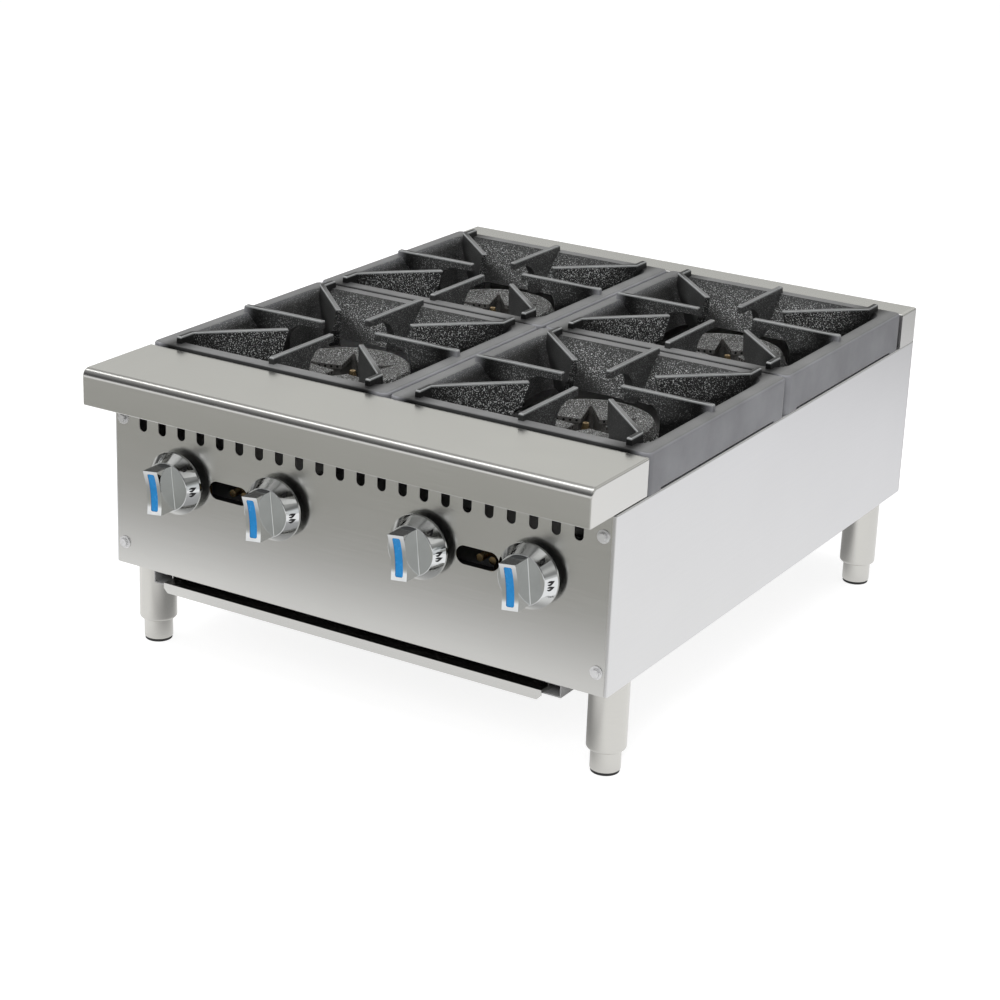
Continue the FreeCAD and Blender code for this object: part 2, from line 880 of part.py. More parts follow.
def legs():
    """Tubular legs with a rounded shoulder, a threaded boss inside and a stud on top."""
    inside = size.leg_radius - size.leg_wall
    neck = size.foot_radius + size.seat_gap
    shoulder_top = size.leg_shoulder + size.leg_shoulder_rise
    boss_top = size.leg_boss_low + size.leg_boss_height
    boss_bore = size.foot_stud_radius + size.running_gap
    cap = base - size.leg_wall * 2
    stud_top = base + size.leg_stud_length
    leg = turned("leg tube", [
        (0, cap), (inside, cap), (inside, boss_top), (boss_bore, boss_top), (boss_bore, size.leg_boss_low),
        (inside, size.leg_boss_low), (inside, shoulder_top), (neck, shoulder_top), (neck, size.leg_shoulder),
        (size.leg_radius, size.leg_shoulder, size.leg_shoulder_rise / 2), (size.leg_radius, base),
        (size.leg_stud_radius, base), (size.leg_stud_radius, stud_top), (0, stud_top),
    ])
    for name, x, y in LEGS:
        node(placed(f"leg_{name}", leg, x, y))


def feet():
    """Screwed feet that slide out of the legs, each with a pad under it."""
    foot = turned("foot turning", [
        (0, size.pad_height), (size.foot_radius, size.pad_height, size.foot_edge),
        (size.foot_radius, size.foot_neck_top), (size.foot_stud_radius, size.foot_neck_top),
        (size.foot_stud_radius, size.foot_stud_top), (0, size.foot_stud_top),
    ])
    pad = turned("pad turning", [
        (0, 0), (size.pad_radius, 0, size.pad_edge), (size.pad_radius, size.pad_height),
        (0, size.pad_height),
    ])
    for name, x, y in LEGS:
        node(placed(f"foot_{name}", foot, x, y))
        node(placed(f"foot_pad_{name}", pad, x, y))


# Drip tray

def tray_guides():
    """Two channels below the body that open inwards and carry the tray."""
    inner = tray_half + size.guide_clearance
    outer = inner + size.guide_width
    low = base - size.guide_height
    along = (panel_back, rear_inside)
    channels = []
    for name, side in SIDES:
        channels.append(fused(f"{name} guide", [
            box(f"{name} guide wall", side_limits(side, outer - size.sheet, outer), along, (low, base)),
            box(f"{name} guide head", side_limits(side, inner, outer), along, (base - size.sheet, base)),
            box(f"{name} guide ledge", side_limits(side, outer - size.guide_ledge, outer), along,
                (low, low + size.sheet)),
        ]))
    return node(group("tray_guides", channels))


def drip_tray():
    """A shallow pan with a turned-down pull lip along its front."""
    half = tray_half
    wall = size.tray_wall
    low = base - size.guide_height + size.sheet
    top = low + size.tray_height
    start = front + size.tray_setback
    finish = start + size.tray_length
    inner = half - wall
    front_top = low + size.tray_front_height
    lip_front = front + size.tray_lip_setback
    lip_low = front_top - size.tray_lip_height
    pan = cut("tray pan", box("tray block", (-half, half), (start, finish), (low, top)), [
        box("tray hollow", (-inner, inner), (start + wall, finish - wall), (low + wall, top + 1)),
        box("tray front edge", (-inner, inner), (start - 1, start + wall + 1), (front_top, top + 1)),
    ])
    lip = slab("tray lip", [
        (-half, front_top), (-half, lip_low + size.tray_lip_bevel), (-half + size.tray_lip_bevel, lip_low),
        (half - size.tray_lip_bevel, lip_low), (half, lip_low + size.tray_lip_bevel), (half, front_top),
    ], wall)
    put(lip, 0, lip_front + wall / 2, 0)
    shelf = box("tray shelf", (-half, half), (lip_front, start + wall), (front_top - wall, front_top))
    return node(fused("drip_tray", [pan, lip, shelf]))


# Cast grates

def grate_frame():
    """The skirted rim and its square bowl, without fingers, about the grate's own middle."""
    half_x = grate_width / 2
    half_y = grate_depth / 2
    body = new_body("grate frame")
    block = rectangle(new_sketch(body, "grate outline", "XY_Plane"), half_x, half_y, size.grate_corner)
    pad = feature(body, "Pad", "grate block", block, Length=size.grate_height)
    doc.recompute()
    edge = body.newObject("PartDesign::Fillet", "grate edge")
    edge.Base = (pad, [f"Edge{number}" for number in edges_at(pad.Shape, z=size.grate_height)])
    bind(edge, Radius=size.grate_edge)

    under = rectangle(new_sketch(body, "grate underside", "XY_Plane"), half_x - size.grate_wall,
                      half_y - size.grate_wall, size.grate_corner)
    under_rim = size.grate_height - size.grate_rim_thickness
    hollow = feature(body, "Pocket", "grate hollow", under, Length=under_rim)
    hollow.Reversed = True

    rise = size.grate_height - size.bowl_low
    slope_x = (half_x - size.grate_rim - size.bowl_mouth) / rise
    slope_y = (half_y - size.grate_rim - size.bowl_mouth) / rise
    past = size.sheet

    def bowl_section(label, z, corner, spread):
        """The bowl's rounded square at one height, widened by a wall where asked."""
        climb = z - size.bowl_low
        return rectangle(new_sketch(body, label, "XY_Plane", z), size.bowl_mouth + slope_x * climb + spread,
                         size.bowl_mouth + slope_y * climb + spread, corner + spread)

    skin = feature(body, "AdditiveLoft", "bowl skin",
                   bowl_section("bowl skin low", size.bowl_low, size.bowl_mouth_corner, size.bowl_wall))
    skin.Sections = [bowl_section("bowl skin high", size.grate_height - size.grate_rim_thickness / 2,
                                  size.bowl_top_corner, size.bowl_wall)]
    skin.Ruled = True
    inside = feature(body, "SubtractiveLoft", "bowl inside",
                     bowl_section("bowl inside low", size.bowl_low - past, size.bowl_mouth_corner, 0))
    inside.Sections = [bowl_section("bowl inside high", size.grate_height + past, size.bowl_top_corner, 0)]
    inside.Ruled = True

    for plane, reach in (("YZ_Plane", half_y), ("XZ_Plane", half_x)):
        opening = reach - size.grate_foot
        relief = outline(new_sketch(body, f"relief {plane}", plane), [
            (-opening, -past), (opening, -past), (opening, size.grate_relief), (-opening, size.grate_relief),
        ])
        notch = feature(body, "Pocket", f"relief cut {plane}", relief, Length=size.stove_width)
        notch.SideType = "Symmetric"
    return body


def finger(label, points):
    """A rib with the given side view, its faces sloping to a narrow rounded top."""
    top = size.grate_height + size.finger_rise
    half_root = size.finger_root_width / 2
    half_top = size.finger_top_width / 2
    section = slab(f"{label} section", [
        (-half_root, 0), (half_root, 0), (half_top, top, size.finger_edge),
        (-half_top, top, size.finger_edge),
    ], size.stove_width, "YZ_Plane")
    return shared(label, [slab(f"{label} side view", points, size.finger_root_width), section])


def inner_end(reach, depth, slant, root, arch, mouth):
    """Side view of a finger's free end, from its top round to its root on the bowl's lower edge."""
    top = size.grate_height + size.finger_rise
    low = size.bowl_low + size.bowl_wall / 4
    return [
        (reach, top, size.finger_edge), (reach + slant, top - depth), (root, top - depth, arch), (root, low),
        (mouth + size.bowl_wall / 2, low),
    ]


def side_finger(label, half):
    """A finger from the middle of one side, with an arched underside and a blunt nose on the rim."""
    top = size.grate_height + size.finger_rise
    root_high = size.grate_height - size.grate_rim_thickness / 2
    nose = half - size.finger_nose_inset
    return finger(label, [
        *inner_end(size.finger_reach, size.finger_tip_depth, 0, size.finger_root, size.finger_arch,
                   size.bowl_mouth),
        (half - size.grate_rim, root_high), (nose, root_high), (nose, top, size.finger_nose_edge),
    ])


def corner_diagonal():
    """The part of a corner finger that runs along the grate's diagonal."""
    mouth = (size.bowl_mouth - size.bowl_mouth_corner) * ROOT_TWO + size.bowl_mouth_corner
    bend = size.corner_bend * ROOT_TWO
    return finger("corner diagonal", [
        *inner_end(size.corner_reach, size.corner_tip_depth, size.corner_tip_slant, size.corner_root,
                   size.corner_arch, mouth),
        (bend, size.corner_bend_low), (bend, size.grate_height + size.finger_rise),
    ])


def corner_post():
    """The round upright where a corner finger turns."""
    top = size.grate_height + size.finger_rise
    half_top = size.finger_top_width / 2
    spread = (size.finger_root_width - size.finger_top_width) / 2 * (top - size.corner_bend_low) / top
    return turned("corner post", [
        (0, size.corner_bend_low), (half_top + spread, size.corner_bend_low),
        (half_top, top, size.finger_edge), (0, top),
    ])


def corner_leg():
    """The short end of a corner finger, which runs straight to the front or rear rim."""
    top = size.grate_height + size.finger_rise
    root_high = size.grate_height - size.grate_rim_thickness / 2
    half = grate_depth / 2
    nose = half - size.finger_nose_inset
    return finger("corner leg", [
        (size.corner_bend, size.corner_bend_low), (half - size.grate_rim, root_high), (nose, root_high),
        (nose, top, size.finger_nose_edge), (size.corner_bend, top),
    ])


def grates():
    """Four cast grates, each a frame fused with four side fingers and four bent corner fingers."""
    across = side_finger("finger across", grate_width / 2)
    along = side_finger("finger along", grate_depth / 2)
    diagonal = corner_diagonal()
    post = corner_post()
    leg = corner_leg()
    bend = size.corner_bend
    ribs = []
    for quarter in range(4):
        straight = Rotation(Vector(0, 0, 1), 90 * quarter)
        slanted = Rotation(Vector(0, 0, 1), 90 * quarter + 45)
        ribs.append(placed(f"side finger {quarter}", along if quarter % 2 else across, turn=straight))
        ribs.append(placed(f"corner finger {quarter}", diagonal, turn=slanted))
    for row, outwards in (("front", -1), ("rear", 1)):
        for name, side in SIDES:
            turn = Rotation(Vector(0, 0, 1), 90 * outwards)
            ribs.append(placed(f"{row} {name} post", post, bend * side, bend * outwards))
            ribs.append(placed(f"{row} {name} leg", leg, bend * side, turn=turn))
    casting = fused("grate casting", [grate_frame(), *ribs])
    for name, x, y, _, _ in burners():
        node(placed(f"grate_{name}", casting, x, y, deck))


# Burners

STAR_ARMS = 5
STAR_TURN = 10
HALF_ARM = math.pi / STAR_ARMS
EDGE_ANGLE = math.atan2(
    size.star_reach.number * math.sin(HALF_ARM),
    size.star_reach.number * math.cos(HALF_ARM) - size.star_tip.number,
)


def star_outline(sketch, spread):
    """Draw the burner's star-shaped opening, with its edges moved outwards by a spread."""
    tip = size.star_tip + spread / math.sin(EDGE_ANGLE)
    reach = size.star_reach + spread / math.sin(EDGE_ANGLE - HALF_ARM)
    points = []
    for arm in range(STAR_ARMS):
        arm_angle = math.radians(STAR_TURN) + 2 * HALF_ARM * arm
        lobe_angle = arm_angle + HALF_ARM
        points.append((tip * math.cos(arm_angle), tip * math.sin(arm_angle)))
        points.append((reach * math.cos(lobe_angle), reach * math.sin(lobe_angle), size.star_round + spread))
    return outline(sketch, points)


def star_column(label, spread, low, high):
    """An upright bar with the star's outline."""
    body = new_body(label)
    section = star_outline(new_sketch(body, f"{label} outline", "XY_Plane", low), spread)
    feature(body, "Pad", f"{label} pad", section, Length=high - low)
    return body


def burner_head():
    """The lift-off head: a flared ring and a dish that runs out into flat pointed arms."""
    under = size.head_arm_low
    register_outer = size.trough_outer - size.trough_wall - size.head_register_gap
    register_inner = register_outer - size.trough_wall
    rim_inner = size.head_rim_radius - size.head_rim
    body = turned("burner head", [
        (size.head_throat, under), (register_inner, under), (register_inner, -size.head_register),
        (register_outer, -size.head_register), (register_outer, 0), (size.head_radius - size.head_rim, 0),
        (size.head_radius, size.head_rim), (size.head_radius, size.head_rim * 2),
        (size.head_rim_radius, size.head_height, size.head_rim_edge),
        (rim_inner, size.head_height, size.head_rim_edge),
        (size.head_dish_foot, size.head_dish_low, size.head_dish_round),
        (size.head_throat, size.head_dish_low - size.head_arm_fall),
    ])
    star = star_outline(new_sketch(body, "head star", "XY_Plane"), 0)
    opening = feature(body, "Pocket", "head opening", star, Length=size.head_height * 4)
    opening.SideType = "Symmetric"
    return body


def burner_base(name, x, y, knob_x, mixer_side, island, eye):
    """The cast trough round a star-shaped eye, fed by a mixer tube through a branch and a riser."""
    label = f"burner_base_{name}"
    riser_x = x + size.riser_offset * mixer_side
    riser_y = y + size.riser_back
    branch_x = riser_x if mixer_side > 0 else knob_x
    mixer_y = front + size.mixer_setback
    axis_z = size.knob_height
    wall = size.trough_wall

    def passage(kind, tube, branch, riser, riser_high):
        """The mixer tube, its branch and its riser, each with its own radius."""
        riser_low = axis_z - branch - size.riser_sump
        return [
            rod(f"{label} {kind} tube", (knob_x, mixer_y, axis_z), "y", tube, riser_y + tube - mixer_y),
            rod(f"{label} {kind} branch", (branch_x, riser_y, axis_z), "x", branch,
                size.knob_offset - size.riser_offset),
            rod(f"{label} {kind} riser", (riser_x, riser_y, riser_low), "z", riser, riser_high - riser_low),
        ]

    casting = fused(f"{label} casting", [
        rod(f"{label} trough", (x, y, trough_low), "z", size.trough_outer, size.trough_height),
        placed(f"{label} island", island, x, y, trough_low),
        *passage("outer", size.mixer_radius, size.branch_radius, size.riser_radius, trough_low + wall),
    ])
    ring = rod(f"{label} ring", (x, y, trough_low + wall), "z", size.trough_outer - wall, size.trough_height)
    channel = cut(f"{label} channel", ring, [placed(f"{label} channel island", island, x, y, trough_low)])
    inside = fused(f"{label} inside", [
        channel,
        *passage("bore", size.mixer_bore, size.branch_bore, size.riser_bore, trough_low + wall * 2),
    ])
    return node(cut(label, casting, [inside, placed(f"{label} eye", eye, x, y, trough_low)]))


def burner_set():
    """Four heads on four bases, with the air shutters on the mixer mouths."""
    head = burner_head()
    island_top = size.trough_height + size.head_arm_low - size.seat_gap
    island = star_column("base island", size.star_setback + size.star_wall, as_size(0), island_top)
    eye = star_column("base eye", size.star_setback, as_size(-1), island_top + 1)
    shutters = []
    inner = size.mixer_radius + size.seat_gap
    shutter_y = front + size.shutter_setback
    length = size.shutter_length
    for name, x, y, knob_x, mixer_side in burners():
        node(placed(f"burner_head_{name}", head, x, y, burner_seat))
        burner_base(name, x, y, knob_x, mixer_side, island, eye)
        at = size.knob_height
        shell = rod(f"shutter shell {name}", (knob_x, shutter_y, at), "y", inner + size.sheet, length)
        shutters.append(cut(f"shutter {name}", shell, [
            rod(f"shutter bore {name}", (knob_x, shutter_y + size.sheet, at), "y", inner, length),
            rod(f"shutter hole {name}", (knob_x, shutter_y - 1, at), "y", size.shutter_hole, length),
        ]))
    node(group("air_shutters", shutters))


# Gas train

def gas_valves():
    """Brass valves on the manifold, each with its orifice hood."""
    height = size.knob_height - size.manifold_height
    reach = size.valve_length
    inlet_y = size.manifold_setback - size.valve_setback
    blank = fused("valve blank", [
        rod("valve barrel", (0, 0, 0), "y", size.valve_radius, reach),
        rod("valve inlet", (0, inlet_y, -height), "z", size.valve_nipple, height),
        rod("valve spud", (0, reach, 0), "y", size.spud_radius, size.spud_length),
    ])
    valve = cut("valve", blank, [
        rod("valve stem bore", (0, -1, 0), "y", size.stem_radius + size.running_gap,
            size.valve_bore_depth + 1),
        rod("valve saddle", (-size.valve_radius, inlet_y, -height), "x", size.manifold_radius,
            size.valve_radius * 2),
    ])
    hood_blank = doc.addObject("Part::Prism", "hood hexagon")
    bind(hood_blank, Circumradius=size.hood_radius, Height=size.hood_length)
    put(hood_blank, 0, reach, 0, TURNS["y"])
    hood = cut("hood", hood_blank, [
        rod("hood bore", (0, reach - 1, 0), "y", size.spud_radius + size.running_gap, size.spud_length + 1),
        rod("hood jet", (0, reach, 0), "y", size.stem_flat / 2, size.hood_length + 1),
    ])
    pieces = []
    for name, _, _, knob_x, _ in burners():
        pieces.append(placed(f"valve {name}", valve, knob_x, valve_y, size.knob_height))
        pieces.append(placed(f"hood {name}", hood, knob_x, valve_y, size.knob_height))
    return node(group("gas_valves", pieces))


def gas_manifold():
    """The supply pipe across the front, plugged at its left end."""
    reach = manifold_reach
    start = (-reach, manifold_y, size.manifold_height)
    bore_start = (size.manifold_plug - reach, manifold_y, size.manifold_height)
    return node(cut("gas_manifold", rod("manifold pipe", start, "x", size.manifold_radius, reach * 2), [
        rod("manifold bore", bore_start, "x", size.manifold_bore, reach * 2),
    ]))


def gas_inlet_pipe():
    """The elbow at the manifold's right end and the pipe that leaves through the back."""
    centre = (manifold_reach, pipe_y, size.manifold_height)
    turn = Rotation(Vector(0, 0, 1), -90)
    start = (pipe_x, pipe_y, size.manifold_height)
    end_y = rear + size.inlet_reach
    thread_y = end_y - size.inlet_thread_length
    outside = fused("inlet outside", [
        quarter_bend("inlet elbow", centre, turn, size.elbow_bend, size.elbow_radius),
        rod("inlet pipe", start, "y", size.manifold_radius, thread_y - pipe_y),
        rod("inlet thread", (pipe_x, thread_y, size.manifold_height), "y", size.inlet_thread_radius,
            size.inlet_thread_length),
    ])
    bore = fused("inlet bore", [
        quarter_bend("inlet elbow bore", centre, turn, size.elbow_bend, size.manifold_bore),
        rod("inlet pipe bore", start, "y", size.manifold_bore, size.body_depth + size.inlet_reach),
    ])
    return node(cut("gas_inlet_pipe", outside, [bore]))


def manifold_brackets():
    """Two plates behind the front panel that hold the manifold."""
    low = size.manifold_height - size.bracket_drop
    high = size.manifold_height + size.bracket_drop
    plates = []
    for name, side in SIDES:
        inner = size.bracket_offset
        outer = inner + size.bracket_thickness
        blank = fused(f"{name} bracket blank", [
            box(f"{name} bracket plate", side_limits(side, inner, outer),
                (panel_back, manifold_y + size.bracket_drop), (low, high)),
            box(f"{name} bracket tab", side_limits(side, inner, inner + size.bracket_tab),
                (panel_back, panel_back + size.bracket_thickness), (low, high)),
        ])
        eye = rod(f"{name} bracket eye", (-half_width, manifold_y, size.manifold_height), "x",
                  size.manifold_radius + size.running_gap, size.stove_width)
        plates.append(cut(f"{name} bracket", blank, [eye]))
    return node(group("manifold_brackets", plates))


# Pilots

def pilot_valves():
    """Brass pilot valves behind the two windows, each feeding a front and a rear pilot."""
    height = size.pilot_level - size.manifold_height
    half = size.pilot_body_length / 2
    pieces = [
        rod("pilot body", (-half, 0, 0), "x", size.pilot_body_radius, size.pilot_body_length),
        rod("pilot inlet", (0, 0, -height), "z", size.pilot_nipple, height),
    ]
    for side in (-1, 1):
        pieces.append(rod("pilot nut", (size.pilot_offset * side, 0, 0), "y", size.pilot_nut_radius,
                          size.pilot_nut_length))
        pieces.append(rod("pilot screw", (half * side / 2, 0, 0), "front", size.pilot_screw_radius,
                          size.pilot_screw_length))
    valve = cut("pilot valve", fused("pilot valve blank", pieces), [
        rod("pilot saddle", (-half, 0, -height), "x", size.manifold_radius, size.pilot_body_length),
    ])
    return node(group("pilot_valves", [
        placed(f"pilot valve {name}", valve, burner_x * side, manifold_y, size.pilot_level)
        for name, side in SIDES
    ]))


def pilot_tubes():
    """Bent tubes from the pilot valves to the middle of each burner."""
    tubes = []
    start_y = manifold_y + size.pilot_nut_length
    for name, x, y, _, mixer_side in burners():
        at = x + size.pilot_offset * mixer_side
        bend_y = y - size.pilot_bend
        bend_z = size.pilot_level + size.pilot_bend

        def run(kind, radius):
            """The tube's level run, bend and riser, as one solid of one radius."""
            return fused(f"pilot {kind} {name}", [
                rod(f"pilot {kind} run {name}", (at, start_y, size.pilot_level), "y", radius,
                    bend_y - start_y),
                quarter_bend(f"pilot {kind} bend {name}", (at, bend_y, bend_z), TURNS["x"],
                             size.pilot_bend, radius),
                rod(f"pilot {kind} riser {name}", (at, y, bend_z), "z", radius, size.pilot_tip_low - bend_z),
            ])

        tubes.append(cut(f"pilot tube {name}", run("tube", size.pilot_tube_radius),
                         [run("bore", size.pilot_tube_bore)]))
    return node(group("pilot_tubes", tubes))


def pilot_burners():
    """Brass pilot tips on their tubes, each steadied by a strip from the burner support."""
    tip = cut("pilot tip", fused("pilot tip blank", [
        rod("pilot tip collar", (0, 0, 0), "z", size.pilot_tip_radius, size.pilot_tip_height / 2),
        cone("pilot tip cone", (0, 0, size.pilot_tip_height / 2), "z", size.pilot_tip_radius,
             size.pilot_tube_radius, size.pilot_tip_height / 2),
    ]), [rod("pilot tip jet", (0, 0, -1), "z", size.pilot_tube_bore / 2, size.pilot_tip_height + 2)])
    strip_low = trough_low - size.support_height
    half = size.pilot_strip_width / 2
    pieces = []
    for name, x, y, _, mixer_side in burners():
        at = x + size.pilot_offset * mixer_side
        pieces.append(placed(f"pilot tip {name}", tip, at, y, size.pilot_tip_low))
        strip = box(f"pilot strip {name}", (at - half, at + half),
                    (y - half, y + size.support_setback - size.support_width / 2),
                    (strip_low, strip_low + size.pilot_strip_thickness))
        hole = rod(f"pilot strip hole {name}", (at, y, strip_low - 1), "z",
                   size.pilot_tube_radius + size.running_gap, size.pilot_strip_thickness + 2)
        pieces.append(cut(f"pilot bracket {name}", strip, [hole]))
    return node(group("pilot_burners", pieces))


# Knobs

KNOB_LEAN = 6.5


def d_shaft(label, radius, flat, start, length):
    """A round bar along Z with one flat side."""
    reach = radius * 2
    return cut(label, rod(f"{label} round", (0, 0, start), "z", radius, length), [
        box(f"{label} flat", (flat, flat + reach), (-reach, reach), (start - 1, start + length + 1)),
    ])


def knob_set():
    """Four knobs with inlaid grips on flatted valve stems, each drawn with its axis upright."""
    face = size.skirt_depth + size.grip_depth
    hollow_z = face - size.grip_hollow_depth + size.grip_hollow
    half_grip = size.grip_width / 2
    grip_reach = size.grip_reach

    def across_cylinder(label, radius):
        """A long cylinder across the grip, on the axis of its hollow front."""
        return rod(label, (-grip_reach, 0, hollow_z), "x", radius, grip_reach * 2)

    def insert_block(label, spread):
        """The inlay's outline, moved outwards by a spread, from inside the grip to beyond its front."""
        body = new_body(label)
        section = rectangle(new_sketch(body, f"{label} outline", "XY_Plane", size.skirt_depth),
                            size.insert_width / 2 + spread, size.insert_length / 2 + spread,
                            size.insert_corner + spread)
        feature(body, "Pad", f"{label} pad", section, Length=size.grip_depth + 1)
        return body

    skirt = turned("knob skirt", [
        (0, 0), (size.skirt_radius, 0), (size.skirt_radius, size.skirt_edge, size.skirt_rim_edge),
        (size.skirt_face_radius, size.skirt_depth, size.skirt_face_edge), (0, size.skirt_depth),
    ])
    grip = box("knob grip", (-half_grip, half_grip), (-grip_reach, grip_reach), (size.skirt_edge, face))
    hollow = across_cylinder("grip hollow", size.grip_hollow)
    seat_radius = size.grip_hollow + size.insert_seat
    seat = shared("insert seat", [
        insert_block("insert seat block", as_size(0)), across_cylinder("insert seat round", seat_radius),
    ])
    bore = d_shaft("stem bore", size.stem_radius + size.running_gap, size.stem_flat + size.running_gap, -1,
                   size.stem_depth + size.seat_gap + 1)
    blank = fused("knob blank", [skirt, grip])
    for name, side in SIDES:
        blank = rounded(f"knob {name} root", blank, size.grip_root, x=half_grip * side, z=size.skirt_depth)
    knob = cut("knob", blank, [hollow, seat, bore])
    insert = cut("insert", shared("insert blank", [
        insert_block("insert block", -size.insert_gap), across_cylinder("insert round", seat_radius),
    ]), [across_cylinder("insert front", size.grip_hollow + size.insert_sink)])

    back = -(size.knob_gap + size.valve_setback - size.panel_setback + size.valve_bore_depth - size.seat_gap)
    stem = d_shaft("stem", size.stem_radius, size.stem_flat, back, size.stem_depth - back)
    turn = Rotation(Vector(0, 1, 0), -KNOB_LEAN).multiply(TURNS["front"])
    seat_y = panel_front - size.knob_gap
    for name, _, _, knob_x, _ in burners():
        for label, source in (("knob", knob), ("knob_insert", insert), ("valve_stem", stem)):
            node(placed(f"{label}_{name}", source, knob_x, seat_y, size.knob_height, turn))


# Build, check and write

def build():
    """Make every piece."""
    for name, side in SIDES:
        side_panel(name, side)
    front_panel()
    front_rail()
    back_rail()
    rear_panel()
    base_crossmembers()
    leg_gussets()
    heat_shield()
    grate_centre_rail()
    burner_supports()
    panel_screws()
    legs()
    feet()
    tray_guides()
    drip_tray()
    grates()
    burner_set()
    gas_valves()
    gas_manifold()
    gas_inlet_pipe()
    manifold_brackets()
    pilot_valves()
    pilot_tubes()
    pilot_burners()
    knob_set()
    doc.recompute()


def check():
    """Stop if any object failed or any piece is not a valid solid."""
    for obj in doc.Objects:
        if "Invalid" in obj.State or "Error" in obj.State:
            raise RuntimeError(f"{obj.Label} could not be built: {obj.getStatusString()}")
    for piece in NODES:
        shape = piece.Shape
        if shape.isNull() or not shape.isValid() or not shape.Solids:
            raise RuntimeError(f"{piece.Label} is not a valid solid")


def write():
    """Write each piece to its own file."""
    os.makedirs("parts", exist_ok=True)
    for piece in NODES:
        piece.Shape.exportStep(os.path.join("parts", f"{piece.Label}.step"))
        print(f"{piece.Label}: {len(piece.Shape.Solids)} solids, {piece.Shape.Volume / 1000:.1f} cm3")


build()
check()
write()
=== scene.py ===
"""Finishes, marks and small details for a four-burner countertop gas hot plate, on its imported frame."""
import math

import bpy
from bpy.props import FloatProperty, FloatVectorProperty, IntProperty, PointerProperty
from mathutils import Matrix, Vector


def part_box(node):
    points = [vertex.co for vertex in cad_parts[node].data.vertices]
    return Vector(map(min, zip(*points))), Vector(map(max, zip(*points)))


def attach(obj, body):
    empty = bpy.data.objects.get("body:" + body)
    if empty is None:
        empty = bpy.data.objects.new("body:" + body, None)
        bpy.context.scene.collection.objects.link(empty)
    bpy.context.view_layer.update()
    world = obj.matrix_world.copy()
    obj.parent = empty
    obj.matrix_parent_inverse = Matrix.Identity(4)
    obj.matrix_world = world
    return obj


bl_info = {
    "name": "Hot Plate Finishes",
    "version": (1, 0, 0),
    "blender": (4, 5, 0),
    "location": "View3D > Sidebar > Hot Plate",
    "description": "Finishes and small details for a countertop gas hot plate",
    "category": "Object",
}

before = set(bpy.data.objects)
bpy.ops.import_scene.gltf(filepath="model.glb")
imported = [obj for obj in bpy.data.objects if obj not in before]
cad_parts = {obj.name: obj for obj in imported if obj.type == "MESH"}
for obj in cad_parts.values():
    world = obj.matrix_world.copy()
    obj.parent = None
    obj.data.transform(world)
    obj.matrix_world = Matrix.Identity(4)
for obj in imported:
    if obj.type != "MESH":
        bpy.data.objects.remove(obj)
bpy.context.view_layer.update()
PLACES = ("front_left", "front_right", "rear_left", "rear_right")


def grey(level, warmth=0.0):
    """A grey of a given level, a little warmer or cooler."""
    return (level, level, level * (1 - warmth), 1)


BLACK = grey(0.0)
WHITE = grey(1.0)


# Properties that a user would change

def colour_property(name, description, default):
    """A colour that a user can pick."""
    return FloatVectorProperty(name=name, description=description, subtype="COLOR", size=3, min=0, max=1,
                               default=default)


def length_property(name, description, default):
    """A length that a user can change."""
    return FloatProperty(name=name, description=description, default=default, min=0, unit="LENGTH")


class SheetFinish(bpy.types.PropertyGroup):
    """Colours of the sheet metal body."""
    outer: colour_property("Outer", "Brushed steel of the rails and the panel", (0.70, 0.695, 0.675))
    side: colour_property("Side", "Brushed steel of the side walls", (0.755, 0.755, 0.76))
    plated: colour_property("Plated", "Plated sheet of the inner body", (0.42, 0.42, 0.42))
    leg: colour_property("Leg", "Turned steel of the legs and feet", (0.66, 0.65, 0.62))


class IronFinish(bpy.types.PropertyGroup):
    """Colours and grain of the castings."""
    grate: colour_property("Grate", "Enamelled iron of the grates", (0.022, 0.0225, 0.0225))
    # Painted light: the tops get a paler tone of the same dark enamel, as if lit
    lamplit: colour_property("Lamplit", "Smooth enamel of the tops", (0.185, 0.186, 0.187))
    # Painted light: the rims and outer walls get a paler tone of the same dark enamel, as if lit
    outer: colour_property("Outer", "Smooth enamel of the outer walls", (0.285, 0.287, 0.305))
    inner: colour_property("Inner", "Smooth enamel inside the bowls", (0.046, 0.047, 0.047))
    # Painted glints: light specks that stand in for light sparkling on the cast grain
    glint: colour_property("Glint", "Light flecks in the castings", (0.93, 0.95, 0.94))
    # Painted highlight along the top edges of the fingers
    edge_glint: colour_property("Highlight", "Edges rubbed bright along the fingers' tops", (0.37, 0.38, 0.38))
    burner: colour_property("Burner", "Bare iron of the burners", (0.040, 0.039, 0.037))
    grain: length_property("Grain", "Size of the casting grain", 0.0011)


class BurnerPorts(bpy.types.PropertyGroup):
    """Ports in each burner head, in rows along its star opening and in a ring round its outside."""
    radius: length_property("Radius", "Radius of a port", 0.0014)
    arms: IntProperty(name="Arms", description="Arms of the star opening", default=5, min=3)
    turn: FloatProperty(name="Turn", description="Angle of the first arm", default=math.radians(10),
                        subtype="ANGLE")
    tip: length_property("Tip", "Distance of an arm's point from the middle", 0.017)
    reach: length_property("Reach", "Distance of the opening's outer corners from the middle", 0.058)
    row_count: IntProperty(name="Row count", description="Ports along each edge of an arm", default=6, min=2)
    row_drop: length_property("Row drop", "Depth of the rows below the top of the head", 0.0078)
    ring_count: IntProperty(name="Ring count", description="Ports round the outside", default=44, min=3)
    ring_drop: length_property("Ring drop", "Depth of the ring below the top of the head", 0.010)
    rim: length_property("Rim", "Radius of the head's top edge", 0.0665)
    wall: length_property("Wall", "Height of the head's sloping outer wall", 0.016)


class KnobFinish(bpy.types.PropertyGroup):
    """Chrome, inlay and marks of the knobs."""
    chrome: colour_property("Chrome", "Polished plating of the knobs", (0.74, 0.755, 0.76))
    inlay: colour_property("Inlay", "Blue inlay of the grips", (0.010, 0.24, 0.60))
    mark: colour_property("Mark", "Printed flame marks", (0.010, 0.010, 0.011))
    flame: length_property("Flame", "Height of a flame mark", 0.0080)


